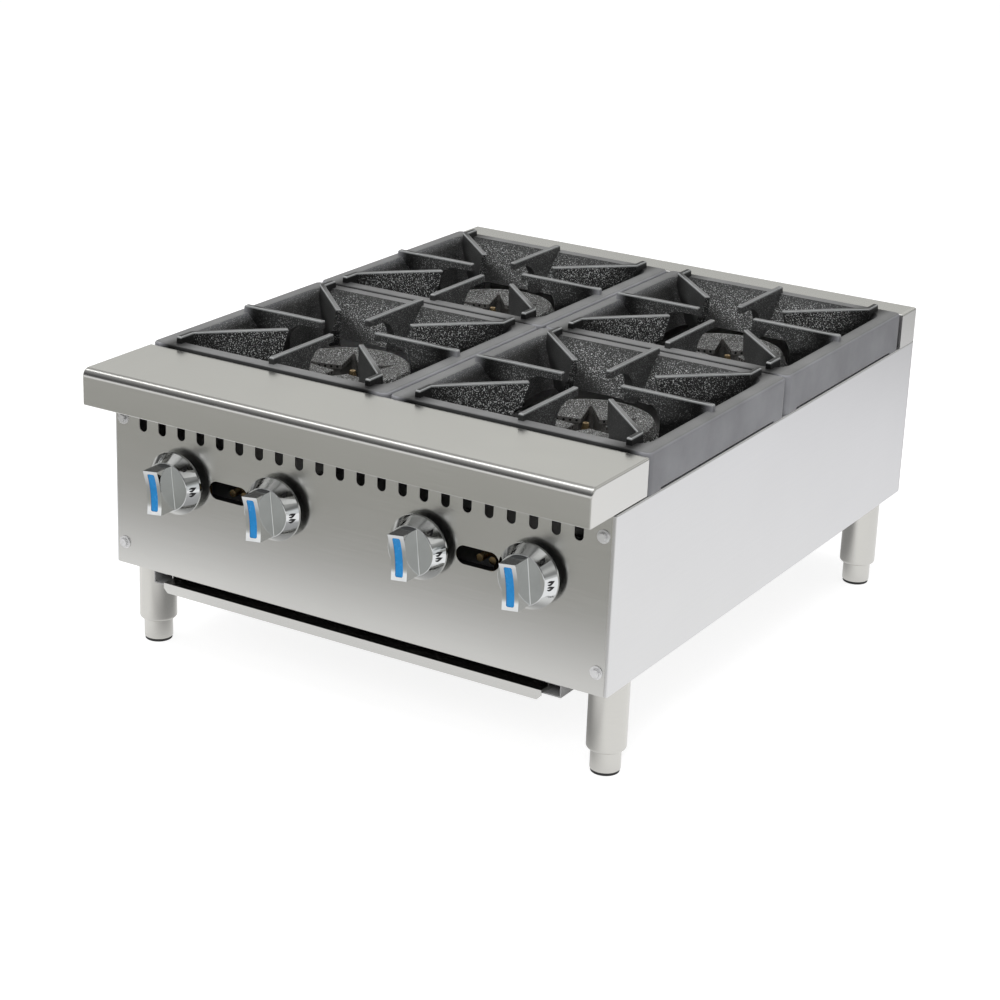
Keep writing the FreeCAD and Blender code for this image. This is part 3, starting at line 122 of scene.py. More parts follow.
class GasFinish(bpy.types.PropertyGroup):
    """Colours of the gas train."""
    brass: colour_property("Brass", "Machined brass of valves and pilots", (0.72, 0.52, 0.27))
    tube: colour_property("Tube", "Drawn aluminium of the pilot tubes", (0.66, 0.67, 0.68))
    pipe: colour_property("Pipe", "Black pipe of the manifold", (0.025, 0.025, 0.026))


class StudioLight(bpy.types.PropertyGroup):
    """The camera, the lamps and the floor."""
    azimuth: FloatProperty(name="Azimuth", description="Camera angle round the stove from the front",
                           default=math.radians(30.43), subtype="ANGLE")
    elevation: FloatProperty(name="Elevation", description="Camera angle above the counter",
                             default=math.radians(20.30), subtype="ANGLE")
    roll: FloatProperty(name="Roll", description="Camera turn about its own line of sight",
                        default=math.radians(2.28), subtype="ANGLE")
    distance: length_property("Distance", "Camera distance from the point it looks at", 2.777)
    lens: FloatProperty(name="Lens", description="Focal length on a 36 mm sensor", default=89.25,
                        unit="CAMERA")
    aim: FloatVectorProperty(name="Aim", description="Point the camera looks at", size=3, unit="LENGTH",
                             default=(0.00365, -0.06311, 0.15309))
    floor: colour_property("Floor", "Plain pale floor", (0.90, 0.90, 0.90))
    sky: FloatProperty(name="Sky", description="Strength of the even light from all round", default=0.42,
                       min=0)
    softbox: FloatProperty(name="Softbox", description="Power of the broad lamp overhead", default=34.0,
                           min=0, unit="POWER")
    strip: FloatProperty(name="Strip", description="Power of the narrow lamp overhead", default=9.0, min=0,
                         unit="POWER")
    key: FloatProperty(name="Key", description="Power of the lamp beside the camera", default=14.0, min=0,
                       unit="POWER")


# Node helpers

def add(tree, kind, inputs=None, **options):
    """Add a node, set its options, and give each named or numbered input a value or a link."""
    made = tree.nodes.new(kind)
    for name, value in options.items():
        setattr(made, name, value)
    for key, value in (inputs or {}).items():
        if isinstance(value, bpy.types.NodeSocket):
            tree.links.new(value, made.inputs[key])
        else:
            made.inputs[key].default_value = value
    return made


def calculate(tree, operation, first, second=0.0):
    """One step of arithmetic on two values."""
    return add(tree, "ShaderNodeMath", {0: first, 1: second}, operation=operation).outputs[0]


def remap(tree, value, low, high, out_low=0.0, out_high=1.0):
    """A value stretched from one range to another and held inside it."""
    limits = {"Value": value, "From Min": low, "From Max": high, "To Min": out_low, "To Max": out_high}
    return add(tree, "ShaderNodeMapRange", limits).outputs["Result"]


def blend_colours(tree, share, first, second):
    """A colour between two others, by a share from 0 to 1."""
    return add(tree, "ShaderNodeMix", {0: share, 6: first, 7: second}, data_type="RGBA").outputs[2]


def shade(colour, factor=1.0):
    """A colour, darker or lighter where asked, with the alpha that sockets want."""
    return (*(min(1.0, channel * factor) for channel in colour), 1.0)


def new_group(name, inputs, outputs):
    """An empty shader group with named sockets, and its two end nodes."""
    tree = bpy.data.node_groups.new(name, "ShaderNodeTree")
    for label, kind, default in inputs:
        socket = tree.interface.new_socket(name=label, in_out="INPUT", socket_type=f"NodeSocket{kind}")
        socket.default_value = default
    for label in outputs:
        tree.interface.new_socket(name=label, in_out="OUTPUT", socket_type="NodeSocketFloat")
    return tree, tree.nodes.new("NodeGroupInput"), tree.nodes.new("NodeGroupOutput")


def use_effect(tree, maker, inputs):
    """Place a shared effect in a material, made the first time it is asked for."""
    if maker.__name__ not in EFFECTS:
        EFFECTS[maker.__name__] = maker()
    return add(tree, "ShaderNodeGroup", inputs, node_tree=EFFECTS[maker.__name__])


# Shared effects

EFFECTS = {}


def brushed_grain():
    """Fine streaks along one direction and broad soft bands across the sheet."""
    group, start, end = new_group("Brushed grain", [
        ("Vector", "Vector", (0, 0, 0)), ("Stretch", "Vector", (10, 900, 900)),
    ], ["Streak", "Band"])
    line = add(group, "ShaderNodeVectorMath", {0: start.outputs["Vector"], 1: start.outputs["Stretch"]},
               operation="MULTIPLY")
    fine = add(group, "ShaderNodeTexNoise", {"Vector": line.outputs[0], "Scale": 1.0, "Detail": 3.0,
                                             "Roughness": 0.6})
    broad = add(group, "ShaderNodeTexNoise", {"Vector": start.outputs["Vector"], "Scale": 7.0,
                                              "Detail": 2.0})
    group.links.new(remap(group, fine.outputs["Fac"], 0.3, 0.7), end.inputs["Streak"])
    group.links.new(remap(group, broad.outputs["Fac"], 0.3, 0.7), end.inputs["Band"])
    return group


def cast_grain():
    """The pebbled skin of a sand casting, with painted glints and slow clouding."""
    group, start, end = new_group("Cast grain", [
        ("Vector", "Vector", (0, 0, 0)), ("Fineness", "Float", 600.0),
    ], ["Pebble", "Glint", "Cloud"])
    where = start.outputs["Vector"]
    fineness = start.outputs["Fineness"]
    pebble = add(group, "ShaderNodeTexNoise", {
        "Vector": where, "Scale": fineness, "Detail": 3.0, "Roughness": 0.55,
    })
    speck = add(group, "ShaderNodeTexNoise", {
        "Vector": where, "Scale": calculate(group, "MULTIPLY", fineness, 0.9), "Detail": 1.0,
    })
    cloud = add(group, "ShaderNodeTexNoise", {"Vector": where, "Scale": 22.0, "Detail": 3.0})
    clouding = remap(group, cloud.outputs["Fac"], 0.3, 0.7)
    group.links.new(remap(group, pebble.outputs["Fac"], 0.25, 0.75), end.inputs["Pebble"])
    glints = remap(group, speck.outputs["Fac"], 0.56, 0.70)
    group.links.new(calculate(group, "MULTIPLY", glints, remap(group, clouding, 0, 1, 1.0, 0.6)),
                    end.inputs["Glint"])
    group.links.new(clouding, end.inputs["Cloud"])
    return group


def handling_marks():
    """Soft smears and fine dust left by hands and cleaning."""
    group, start, end = new_group("Handling marks", [
        ("Vector", "Vector", (0, 0, 0)), ("Scale", "Float", 18.0),
    ], ["Smear", "Dust"])
    smear = add(group, "ShaderNodeTexNoise", {
        "Vector": start.outputs["Vector"], "Scale": start.outputs["Scale"], "Detail": 4.0, "Distortion": 0.8,
    })
    dust = add(group, "ShaderNodeTexNoise", {
        "Vector": start.outputs["Vector"], "Scale": 900.0, "Detail": 1.0,
    })
    group.links.new(remap(group, smear.outputs["Fac"], 0.35, 0.7), end.inputs["Smear"])
    group.links.new(remap(group, dust.outputs["Fac"], 0.62, 0.75), end.inputs["Dust"])
    return group


# Materials

def new_material(name, **constants):
    """A material with its plain shader values set, its tree, its shader and the piece's own coordinates."""
    material = bpy.data.materials.new(name)
    material.use_nodes = True
    tree = material.node_tree
    shader = tree.nodes["Principled BSDF"]
    for label, value in constants.items():
        shader.inputs[label.replace("_", " ")].default_value = value
    where = add(tree, "ShaderNodeTexCoord").outputs["Object"]
    return material, tree, shader, where


def bump(tree, shader, height, distance):
    """Let a height stand out of the surface by a distance."""
    relief = add(tree, "ShaderNodeBump", {"Height": height, "Distance": distance, "Strength": 1.0})
    tree.links.new(relief.outputs["Normal"], shader.inputs["Normal"])


def brushed_steel(name, colour, stretch, rough):
    """Sheet with a brushed grain in one direction, and faint smears."""
    material, tree, shader, where = new_material(name, Metallic=1.0)
    grain = use_effect(tree, brushed_grain, {"Vector": where, "Stretch": stretch})
    marks = use_effect(tree, handling_marks, {"Vector": where, "Scale": 9.0})
    banded = blend_colours(tree, grain.outputs["Band"], shade(colour, 0.99), shade(colour, 1.01))
    streaked = blend_colours(tree, grain.outputs["Streak"], shade(colour, 0.97), shade(colour, 1.03))
    tree.links.new(blend_colours(tree, 0.5, banded, streaked), shader.inputs["Base Color"])
    polish = remap(tree, marks.outputs["Smear"], 0, 1, rough - 0.01, rough + 0.01)
    streaks = remap(tree, grain.outputs["Streak"], 0, 1, -0.02, 0.02)
    tree.links.new(calculate(tree, "ADD", polish, streaks), shader.inputs["Roughness"])
    bump(tree, shader, grain.outputs["Streak"], 0.000004)
    return material


def plated_sheet(name, colour, metal):
    """Dull plated sheet with a cloudy spangle, more or less like bare metal."""
    material, tree, shader, where = new_material(name, Metallic=metal)
    marks = use_effect(tree, handling_marks, {"Vector": where, "Scale": 30.0})
    spangle = add(tree, "ShaderNodeTexVoronoi", {"Vector": where, "Scale": 90.0})
    tone = calculate(tree, "MULTIPLY", spangle.outputs["Distance"], marks.outputs["Smear"])
    tree.links.new(blend_colours(tree, tone, shade(colour, 0.92), shade(colour, 1.06)),
                   shader.inputs["Base Color"])
    tree.links.new(remap(tree, marks.outputs["Smear"], 0, 1, 0.36, 0.50), shader.inputs["Roughness"])
    bump(tree, shader, marks.outputs["Smear"], 0.00003)
    return material


def bright_steel(name, colour, rough, metal=1.0):
    """Turned or plated steel with fine tool marks, more or less like bare metal."""
    material, tree, shader, where = new_material(name, Metallic=metal)
    grain = use_effect(tree, brushed_grain, {"Vector": where, "Stretch": (60, 60, 1400)})
    tree.links.new(blend_colours(tree, grain.outputs["Streak"], shade(colour, 0.98), shade(colour, 1.02)),
                   shader.inputs["Base Color"])
    tree.links.new(remap(tree, grain.outputs["Streak"], 0, 1, rough - 0.01, rough + 0.01),
                   shader.inputs["Roughness"])
    bump(tree, shader, grain.outputs["Streak"], 0.000001)
    return material


def facing_share(tree, way, low, high):
    """A share that grows from 0 to 1 as a face comes to look along a direction."""
    normal = add(tree, "ShaderNodeTexCoord").outputs["Normal"]
    along = add(tree, "ShaderNodeVectorMath", {0: normal, 1: way}, operation="DOT_PRODUCT")
    return remap(tree, along.outputs["Value"], low, high)


def head_middle(place):
    """The middle of a burner head's box."""
    low, high = (Vector(limit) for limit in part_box(f"burner_head_{place}"))
    return (low + high) / 2


def burner_places(tree, where):
    """How far a point is from the nearest burner's axis across and along the stove, and its height."""
    axis = add(tree, "ShaderNodeSeparateXYZ", {0: where})
    front = head_middle("front_right")
    rear = head_middle("rear_right")

    def from_row(value, middle, half):
        """Distance from the nearer of two rows that lie on both sides of a middle."""
        aside = calculate(tree, "ABSOLUTE", calculate(tree, "SUBTRACT", value, middle))
        return calculate(tree, "ABSOLUTE", calculate(tree, "SUBTRACT", aside, half))

    across = from_row(axis.outputs["X"], 0, front.x)
    along = from_row(axis.outputs["Y"], (front.y + rear.y) / 2, (rear.y - front.y) / 2)
    return across, along, axis.outputs["Z"]


# Direction towards the light at the right front: faces that look this way get painted glints and the rough
# grain
GLINT_WAY = (0.62, -0.62, 0.48)
# Distances from a burner's axis between which a grate's bowl becomes its rim
RIM_SPAN = (0.128, 0.142)
# Heights between which the painted shade low in the bowls thins out, and how far from the burner's axis each
# stays unshaded
BOWL_SHADE_HEIGHTS = (0.292, 0.325)
UNSHADED_REACH = (0.020, 0.105)
# Heights between which the edges along the fingers' tops get a painted highlight
EDGE_GLINT_HEIGHTS = (0.3412, 0.3428)


def grate_enamel(name, finish):
    """Dark enamel over cast iron: painted glints on faces towards the light, smooth tops and outer walls
    painted paler as if lit, painted highlights along the fingers' top edges and painted shade low in the
    bowls.
    """
    material, tree, shader, where = new_material(name, IOR=1.38)
    across, along, height = burner_places(tree, where)
    glint_facing = facing_share(tree, GLINT_WAY, 0.58, 0.86)
    top = facing_share(tree, (0, 0, 1), 0.75, 0.92)
    edge = remap(tree, across, *RIM_SPAN)
    # Painted shade: darker low in the bowls, away from the burner's axis and short of the rims
    unshaded_reach = remap(tree, height, *BOWL_SHADE_HEIGHTS, *UNSHADED_REACH)
    bowl_shade_share = remap(tree, calculate(tree, "SUBTRACT", across, unshaded_reach), -0.012, 0.016)
    bowl_shade = calculate(tree, "MULTIPLY", bowl_shade_share, calculate(tree, "SUBTRACT", 0.85, edge))
    grain = use_effect(tree, cast_grain, {"Vector": where, "Fineness": 1 / finish.grain})
    hidden = blend_colours(tree, glint_facing, shade(finish.inner), shade(finish.grate))
    # Painted light: rims and outer walls, then tops, take paler tones of the enamel, as if lit
    walled = blend_colours(tree, edge, hidden, shade(finish.outer))
    base = blend_colours(tree, top, walled, shade(finish.lamplit))
    clouded = blend_colours(tree, calculate(tree, "MULTIPLY", grain.outputs["Cloud"], 0.25), base, BLACK)
    rim = calculate(tree, "MAXIMUM", edge, remap(tree, along, *RIM_SPAN))
    inside = calculate(tree, "SUBTRACT", 1.0, calculate(tree, "MAXIMUM", rim, top))
    glint_and_grain_share = calculate(tree, "MULTIPLY", remap(tree, glint_facing, 0, 1, 0.10, 1.0), inside)
    # Painted glints, strongest on faces towards the light, none on tops and rims
    glinting = calculate(tree, "MULTIPLY", grain.outputs["Glint"], glint_and_grain_share)
    glinted = blend_colours(tree, glinting, clouded, shade(finish.glint))
    bowl_shaded = blend_colours(tree, bowl_shade, glinted, BLACK)
    # Painted highlight along the edges just under the fingers' tops
    edge_glint = calculate(tree, "MULTIPLY", remap(tree, height, *EDGE_GLINT_HEIGHTS),
                     calculate(tree, "SUBTRACT", 1.0, top))
    tree.links.new(blend_colours(tree, edge_glint, bowl_shaded, shade(finish.edge_glint)), shader.inputs["Base Color"])
    tree.links.new(remap(tree, grain.outputs["Pebble"], 0, 1, 0.48, 0.36), shader.inputs["Roughness"])
    relief = calculate(tree, "MULTIPLY", grain.outputs["Pebble"], remap(tree, glint_and_grain_share, 0, 1, 0.08, 1.0))
    bump(tree, shader, relief, 0.0005)
    return material


def bare_iron(name, finish):
    """Dull cast iron with painted glints all over, fewer on upright faces, which are painted paler as if
    lit.
    """
    material, tree, shader, where = new_material(name, IOR=1.5)
    level = facing_share(tree, (0, 0, 1), 0.15, 0.45)
    grain = use_effect(tree, cast_grain, {"Vector": where, "Fineness": 1 / finish.grain})
    # Painted light: upright faces take a paler copy of the iron's colour
    base = blend_colours(tree, level, shade(finish.burner, 2.6), shade(finish.burner))
    clouded = blend_colours(tree, calculate(tree, "MULTIPLY", grain.outputs["Cloud"], 0.3), base, BLACK)
    glinting = calculate(tree, "MULTIPLY", grain.outputs["Glint"], remap(tree, level, 0, 1, 0.10, 0.90))
    tree.links.new(blend_colours(tree, glinting, clouded, shade(finish.glint)),
                   shader.inputs["Base Color"])
    tree.links.new(remap(tree, grain.outputs["Pebble"], 0, 1, 0.62, 0.46), shader.inputs["Roughness"])
    bump(tree, shader, grain.outputs["Pebble"], 0.0004)
    return material


def polished_chrome(name, colour):
    """Bright plating with faint smears."""
    material, tree, shader, where = new_material(name, Metallic=1.0)
    marks = use_effect(tree, handling_marks, {"Vector": where, "Scale": 60.0})
    tree.links.new(blend_colours(tree, marks.outputs["Smear"], shade(colour), shade(colour, 0.95)),
                   shader.inputs["Base Color"])
    tree.links.new(remap(tree, marks.outputs["Smear"], 0, 1, 0.04, 0.09), shader.inputs["Roughness"])
    bump(tree, shader, marks.outputs["Smear"], 0.00001)
    return material


def gloss_inlay(name, colour):
    """Glossy coloured plastic with a slight moulded waviness."""
    material, tree, shader, where = new_material(name, IOR=1.45)
    marks = use_effect(tree, handling_marks, {"Vector": where, "Scale": 120.0})
    tree.links.new(blend_colours(tree, marks.outputs["Smear"], shade(colour, 0.94), shade(colour, 1.06)),
                   shader.inputs["Base Color"])
    tree.links.new(remap(tree, marks.outputs["Smear"], 0, 1, 0.20, 0.30), shader.inputs["Roughness"])
    bump(tree, shader, marks.outputs["Smear"], 0.00002)
    return material


def matte_black(name, colour, rough):
    """Black paint, print or rubber with a fine tooth."""
    material, tree, shader, where = new_material(name, IOR=1.5)
    marks = use_effect(tree, handling_marks, {"Vector": where, "Scale": 50.0})
    tree.links.new(blend_colours(tree, marks.outputs["Smear"], shade(colour, 0.8), shade(colour, 1.4)),
                   shader.inputs["Base Color"])
    tree.links.new(remap(tree, marks.outputs["Smear"], 0, 1, rough, rough + 0.15),
                   shader.inputs["Roughness"])
    bump(tree, shader, marks.outputs["Dust"], 0.00005)
    return material


def machined_brass(name, colour):
    """Brass with turning marks and a light tarnish."""
    material, tree, shader, where = new_material(name, Metallic=1.0)
    grain = use_effect(tree, brushed_grain, {"Vector": where, "Stretch": (200, 2200, 200)})
    marks = use_effect(tree, handling_marks, {"Vector": where, "Scale": 70.0})
    tree.links.new(blend_colours(tree, marks.outputs["Smear"], shade(colour, 1.05), shade(colour, 0.7)),
                   shader.inputs["Base Color"])
    tree.links.new(remap(tree, marks.outputs["Smear"], 0, 1, 0.22, 0.42), shader.inputs["Roughness"])
    bump(tree, shader, grain.outputs["Streak"], 0.00002)
    return material


def dress(names, material):
    """Give CAD pieces one material."""
    for name in names:
        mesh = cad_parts[name].data
        mesh.materials.clear()
        mesh.materials.append(material)


def at_places(*stems):
    """The names of pieces that every burner or leg has one of."""
    return [f"{stem}_{place}" for stem in stems for place in PLACES]


# Sheet metal and legs

class HOTPLATE_OT_sheet_metal(bpy.types.Operator):
    """Brushed steel on the rails, the control panel, the side walls and the drip tray"""
    bl_idname = "hotplate.sheet_metal"
    bl_label = "Sheet metal"

    def execute(self, context):
        finish = context.scene.hotplate_sheet
        along_x = (12, 1100, 1100)
        along_y = (1100, 12, 1100)
        dress(["front_rail", "back_rail", "front_panel", "drip_tray"],
              brushed_steel("Front steel", finish.outer, along_x, 0.23))
        dress(["side_panel_left", "side_panel_right"],
              brushed_steel("Side steel", finish.side, along_y, 0.34))
        return {"FINISHED"}


class HOTPLATE_OT_inner_sheet(bpy.types.Operator):
    """Plated sheet on the rear and the inner body"""
    bl_idname = "hotplate.inner_sheet"
    bl_label = "Inner sheet"

    def execute(self, context):
        finish = context.scene.hotplate_sheet
        dress(["rear_panel", "leg_gussets", "grate_centre_rail", "burner_supports", "manifold_brackets",
               "air_shutters"], plated_sheet("Plated sheet", finish.plated, 1.0))
        dress(["base_crossmembers", "heat_shield", "tray_guides"],
              plated_sheet("Dull plated sheet", finish.plated, 0.3))
        return {"FINISHED"}


class HOTPLATE_OT_legs(bpy.types.Operator):
    """Turned steel on the legs and feet, bright screws and dark pads"""
    bl_idname = "hotplate.legs"
    bl_label = "Legs, feet and screws"

    def execute(self, context):
        finish = context.scene.hotplate_sheet
        dress(at_places("leg", "foot"), bright_steel("Leg steel", finish.leg, 0.22))
        dress(["panel_screws", *at_places("valve_stem")],
              bright_steel("Screw steel", finish.side, 0.14, metal=0.4))
        dress(at_places("foot_pad"), matte_black("Foot pad", (0.03, 0.03, 0.03), 0.6))
        return {"FINISHED"}


# Castings and gas ports

class HOTPLATE_OT_grates(bpy.types.Operator):
    """Dark enamel on the cast grates, with painted glints, painted light and painted shade"""
    bl_idname = "hotplate.grates"
    bl_label = "Grates"

    def execute(self, context):
        finish = context.scene.hotplate_iron
        dress(at_places("grate"), grate_enamel("Grate enamel", finish))
        return {"FINISHED"}


class HOTPLATE_OT_burners(bpy.types.Operator):
    """Bare iron on the burner heads and bases"""
    bl_idname = "hotplate.burners"
    bl_label = "Burners"

    def execute(self, context):
        finish = context.scene.hotplate_iron
        dress(at_places("burner_head", "burner_base"), bare_iron("Burner iron", finish))
        return {"FINISHED"}


# Share of an arm's edge that its row of ports covers, and how far ports stand out of the iron
ROW_SPAN = (0.10, 0.86)
ROW_PROUD = 0.0001
RING_PROUD = 0.0002


def port_tree():
    """Geometry nodes that set round ports along the edges of a star opening and in a ring round a head."""
    tree = bpy.data.node_groups.new("Gas ports", "GeometryNodeTree")
    for label, kind in (
        ("Centre", "Vector"), ("Port radius", "Float"), ("Arms", "Int"), ("Turn", "Float"),
        ("Row start", "Vector"), ("Row end", "Vector"), ("Row facing", "Float"), ("Row count", "Int"),
        ("Ring place", "Vector"), ("Ring tilt", "Vector"), ("Ring count", "Int"), ("Material", "Material"),
    ):
        tree.interface.new_socket(name=label, in_out="INPUT", socket_type=f"NodeSocket{kind}")
    tree.interface.new_socket(name="Ports", in_out="OUTPUT", socket_type="NodeSocketGeometry")
    given = tree.nodes.new("NodeGroupInput").outputs

    def turned_about(angle):
        """A turn about the upright axis."""
        return add(tree, "ShaderNodeCombineXYZ", {"Z": angle}).outputs[0]

    def round_about(count, start, piece):
        """Copies of a piece set evenly about the upright axis."""
        points = add(tree, "GeometryNodePoints", {"Count": count})
        step = calculate(tree, "DIVIDE", math.tau, count)
        turn = calculate(tree, "MULTIPLY", add(tree, "GeometryNodeInputIndex").outputs[0], step)
        rotation = turned_about(calculate(tree, "ADD", turn, start))
        return add(tree, "GeometryNodeInstanceOnPoints", {
            "Points": points.outputs[0], "Instance": piece, "Rotation": rotation,
        }).outputs[0]

    disc = add(tree, "GeometryNodeMeshCircle", {"Vertices": 12, "Radius": given["Port radius"]},
               fill_type="NGON")
    port = add(tree, "GeometryNodeTransform", {
        "Geometry": disc.outputs[0], "Rotation": (0, math.pi / 2, 0),
    })
    line = add(tree, "GeometryNodeMeshLine", {
        "Count": given["Row count"], "Start Location": given["Row start"], "Offset": given["Row end"],
    }, mode="END_POINTS")
    row = add(tree, "GeometryNodeInstanceOnPoints", {
        "Points": line.outputs[0], "Instance": port.outputs[0],
        "Rotation": turned_about(given["Row facing"]),
    })
    plain_row = add(tree, "GeometryNodeRealizeInstances", {0: row.outputs[0]})
    mirrored = add(tree, "GeometryNodeTransform", {"Geometry": plain_row.outputs[0], "Scale": (1, -1, 1)})
    outwards = add(tree, "GeometryNodeFlipFaces", {"Mesh": mirrored.outputs[0]})
    ring_port = add(tree, "GeometryNodeTransform", {
        "Geometry": disc.outputs[0], "Translation": given["Ring place"], "Rotation": given["Ring tilt"],
    })
    both = add(tree, "GeometryNodeJoinGeometry")
    for part in (plain_row, outwards):
        tree.links.new(part.outputs[0], both.inputs[0])
    everything = add(tree, "GeometryNodeJoinGeometry")
    tree.links.new(round_about(given["Arms"], given["Turn"], both.outputs[0]), everything.inputs[0])
    tree.links.new(round_about(given["Ring count"], 0.0, ring_port.outputs[0]), everything.inputs[0])
    moved = add(tree, "GeometryNodeTransform", {
        "Geometry": everything.outputs[0], "Translation": given["Centre"],
    })
    plain = add(tree, "GeometryNodeRealizeInstances", {0: moved.outputs[0]})
    painted = add(tree, "GeometryNodeSetMaterial", {
        "Geometry": plain.outputs[0], "Material": given["Material"],
    })
    add(tree, "NodeGroupOutput", {"Ports": painted.outputs[0]})
    return tree


def grown(name, tree, values):
    """A plain mesh object made once from geometry nodes with the given named inputs."""
    sockets = {item.name: item.identifier for item in tree.interface.items_tree if item.in_out == "INPUT"}
    seed = bpy.data.objects.new(name, bpy.data.meshes.new(f"{name} seed"))
    bpy.context.scene.collection.objects.link(seed)
    modifier = seed.modifiers.new("Nodes", "NODES")
    modifier.node_group = tree
    for label, value in values.items():
        modifier[sockets[label]] = value
    evaluated = seed.evaluated_get(bpy.context.evaluated_depsgraph_get())
    mesh = bpy.data.meshes.new_from_object(evaluated)
    seed.modifiers.remove(modifier)
    seed.data = mesh
    return seed


class HOTPLATE_OT_gas_ports(bpy.types.Operator):
    """Rows of gas ports in the burner heads"""
    bl_idname = "hotplate.gas_ports"
    bl_label = "Gas ports"

    def execute(self, context):
        ports = context.scene.hotplate_ports
        dark = matte_black("Port shadow", (0.006, 0.006, 0.006), 0.8)
        tree = port_tree()
        half_arm = math.pi / ports.arms
        tip = Vector((ports.tip, 0, -ports.row_drop))
        corner = Matrix.Rotation(half_arm, 3, "Z") @ Vector((ports.reach, 0, -ports.row_drop))
        edge = corner - tip
        facing = math.atan2(edge.y, edge.x) + math.pi / 2
        proud = Vector((math.cos(facing), math.sin(facing), 0)) * ROW_PROUD
        row_start, row_end = (tip + edge * share + proud for share in ROW_SPAN)
        for place in PLACES:
            low, high = (Vector(limit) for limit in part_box(f"burner_head_{place}"))
            centre = (low + high) / 2
            centre.z = high.z
            flare = (high.x - low.x) / 2 - ports.rim
            lean = math.atan2(flare, ports.wall)
            ring_radius = ports.rim + flare * ports.ring_drop / ports.wall
            lift = Vector((math.cos(lean), 0, math.sin(lean))) * RING_PROUD
            piece = grown(f"gas_ports_{place}", tree, {
                "Centre": centre, "Port radius": ports.radius, "Arms": ports.arms, "Turn": ports.turn,
                "Row start": row_start, "Row end": row_end, "Row facing": facing,
                "Row count": ports.row_count,
                "Ring place": Vector((ring_radius, 0, -ports.ring_drop)) + lift,
                "Ring tilt": Vector((0, math.pi / 2 - lean, 0)), "Ring count": ports.ring_count,
                "Material": dark,
            })
            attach(piece, f"burner_head_{place}")
        return {"FINISHED"}


# Gas train

class HOTPLATE_OT_gas_train(bpy.types.Operator):
    """Brass, aluminium and black pipe on the gas train"""
    bl_idname = "hotplate.gas_train"
    bl_label = "Gas train"

    def execute(self, context):
        finish = context.scene.hotplate_gas
        dress(["gas_valves", "pilot_valves", "pilot_burners"], machined_brass("Valve brass", finish.brass))
        dress(["pilot_tubes"], bright_steel("Pilot tube", finish.tube, 0.30))
        dress(["gas_manifold", "gas_inlet_pipe"], matte_black("Pipe black", finish.pipe, 0.40))
        return {"FINISHED"}


# Knobs and their marks

class HOTPLATE_OT_knobs(bpy.types.Operator):
    """Chrome and blue inlay on the knobs"""
    bl_idname = "hotplate.knobs"
    bl_label = "Knobs"

    def execute(self, context):
        finish = context.scene.hotplate_knob
        dress(at_places("knob"), polished_chrome("Knob chrome", finish.chrome))
        dress(at_places("knob_insert"), gloss_inlay("Knob inlay", finish.inlay))
        return {"FINISHED"}


# The knob's sloping skirt: its two radii, and how far each lies in front of the knob's back
SKIRT_RADIUS = 0.0342
SKIRT_FACE_RADIUS = 0.0265
SKIRT_EDGE = 0.0025
SKIRT_DEPTH = 0.0155
# Flames printed on it: the angles of the single and the double mark, rows of faces, and lift
FLAME_ANGLES = (48, 3.5, -7.5)
FLAME_ROWS = 12
PRINT_PROUD = 0.00015


def flame_row(share):
    """Sideways places of one row of a flame mark, in flame heights: outer, inner, inner, outer."""
    lean = 0.24 * share - 0.10 * math.sin(math.pi * share)
    half = 0.38 * math.sin(math.pi * (0.14 + 0.86 * share)) * (1 - 0.45 * share)
    hollow = 0.10 * max(0.0, math.cos(math.pi * share))
    return [lean - half, lean - hollow, lean + hollow, lean + half]


def on_skirt(axis, seat, angle, outwards, sideways):
    """A point printed on a knob's sloping skirt, from its middle outwards and round."""
    slope = Vector((SKIRT_RADIUS - SKIRT_FACE_RADIUS, SKIRT_EDGE - SKIRT_DEPTH)).normalized()
    middle = Vector((SKIRT_RADIUS + SKIRT_FACE_RADIUS, SKIRT_EDGE + SKIRT_DEPTH)) / 2
    radius, depth = middle + slope * outwards + Vector((-slope.y, slope.x)) * PRINT_PROUD
    turn = angle + sideways / radius
    return (axis.x + radius * math.cos(turn), seat - depth, axis.z + radius * math.sin(turn))


class HOTPLATE_OT_flame_marks(bpy.types.Operator):
    """Small printed flames on the knob skirts, two for full and one for low"""
    bl_idname = "hotplate.flame_marks"
    bl_label = "Flame marks"

    def execute(self, context):
        finish = context.scene.hotplate_knob
        ink = matte_black("Knob print", finish.mark, 0.45)
        for place in PLACES:
            low, high = (Vector(limit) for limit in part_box(f"knob_{place}"))
            axis = (low + high) / 2
            points = []
            faces = []
            for angle in FLAME_ANGLES:
                start = len(points)
                for row in range(FLAME_ROWS + 1):
                    share = row / FLAME_ROWS
                    outwards = (share - 0.5) * finish.flame
                    for sideways in flame_row(share):
                        points.append(on_skirt(axis, high.y, math.radians(angle), outwards,
                                               sideways * finish.flame))
                for row in range(FLAME_ROWS):
                    for column in (0, 2):
                        corner = start + row * 4 + column
                        faces.append((corner, corner + 4, corner + 5, corner + 1))
            mesh = bpy.data.meshes.new(f"flame_marks_{place}")
            mesh.from_pydata(points, [], faces)
            mesh.materials.append(ink)
            piece = bpy.data.objects.new(f"flame_marks_{place}", mesh)
            context.scene.collection.objects.link(piece)
            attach(piece, f"knob_{place}")
        return {"FINISHED"}


# Studio

# Each lamp's place, the point it faces, its length and its width
SOFTBOX = ((-0.1, -0.3, 2.3), (0, 0, 0.3), 2.4, 2.4)
STRIP_LAMP = ((-0.8, -0.36, 2.2), (-0.8, -0.36, 0), 3.4, 0.45)
KEY_LAMP = ((0.9, -2.1, 1.6), (0, 0, 0.25), 0.9, 0.9)


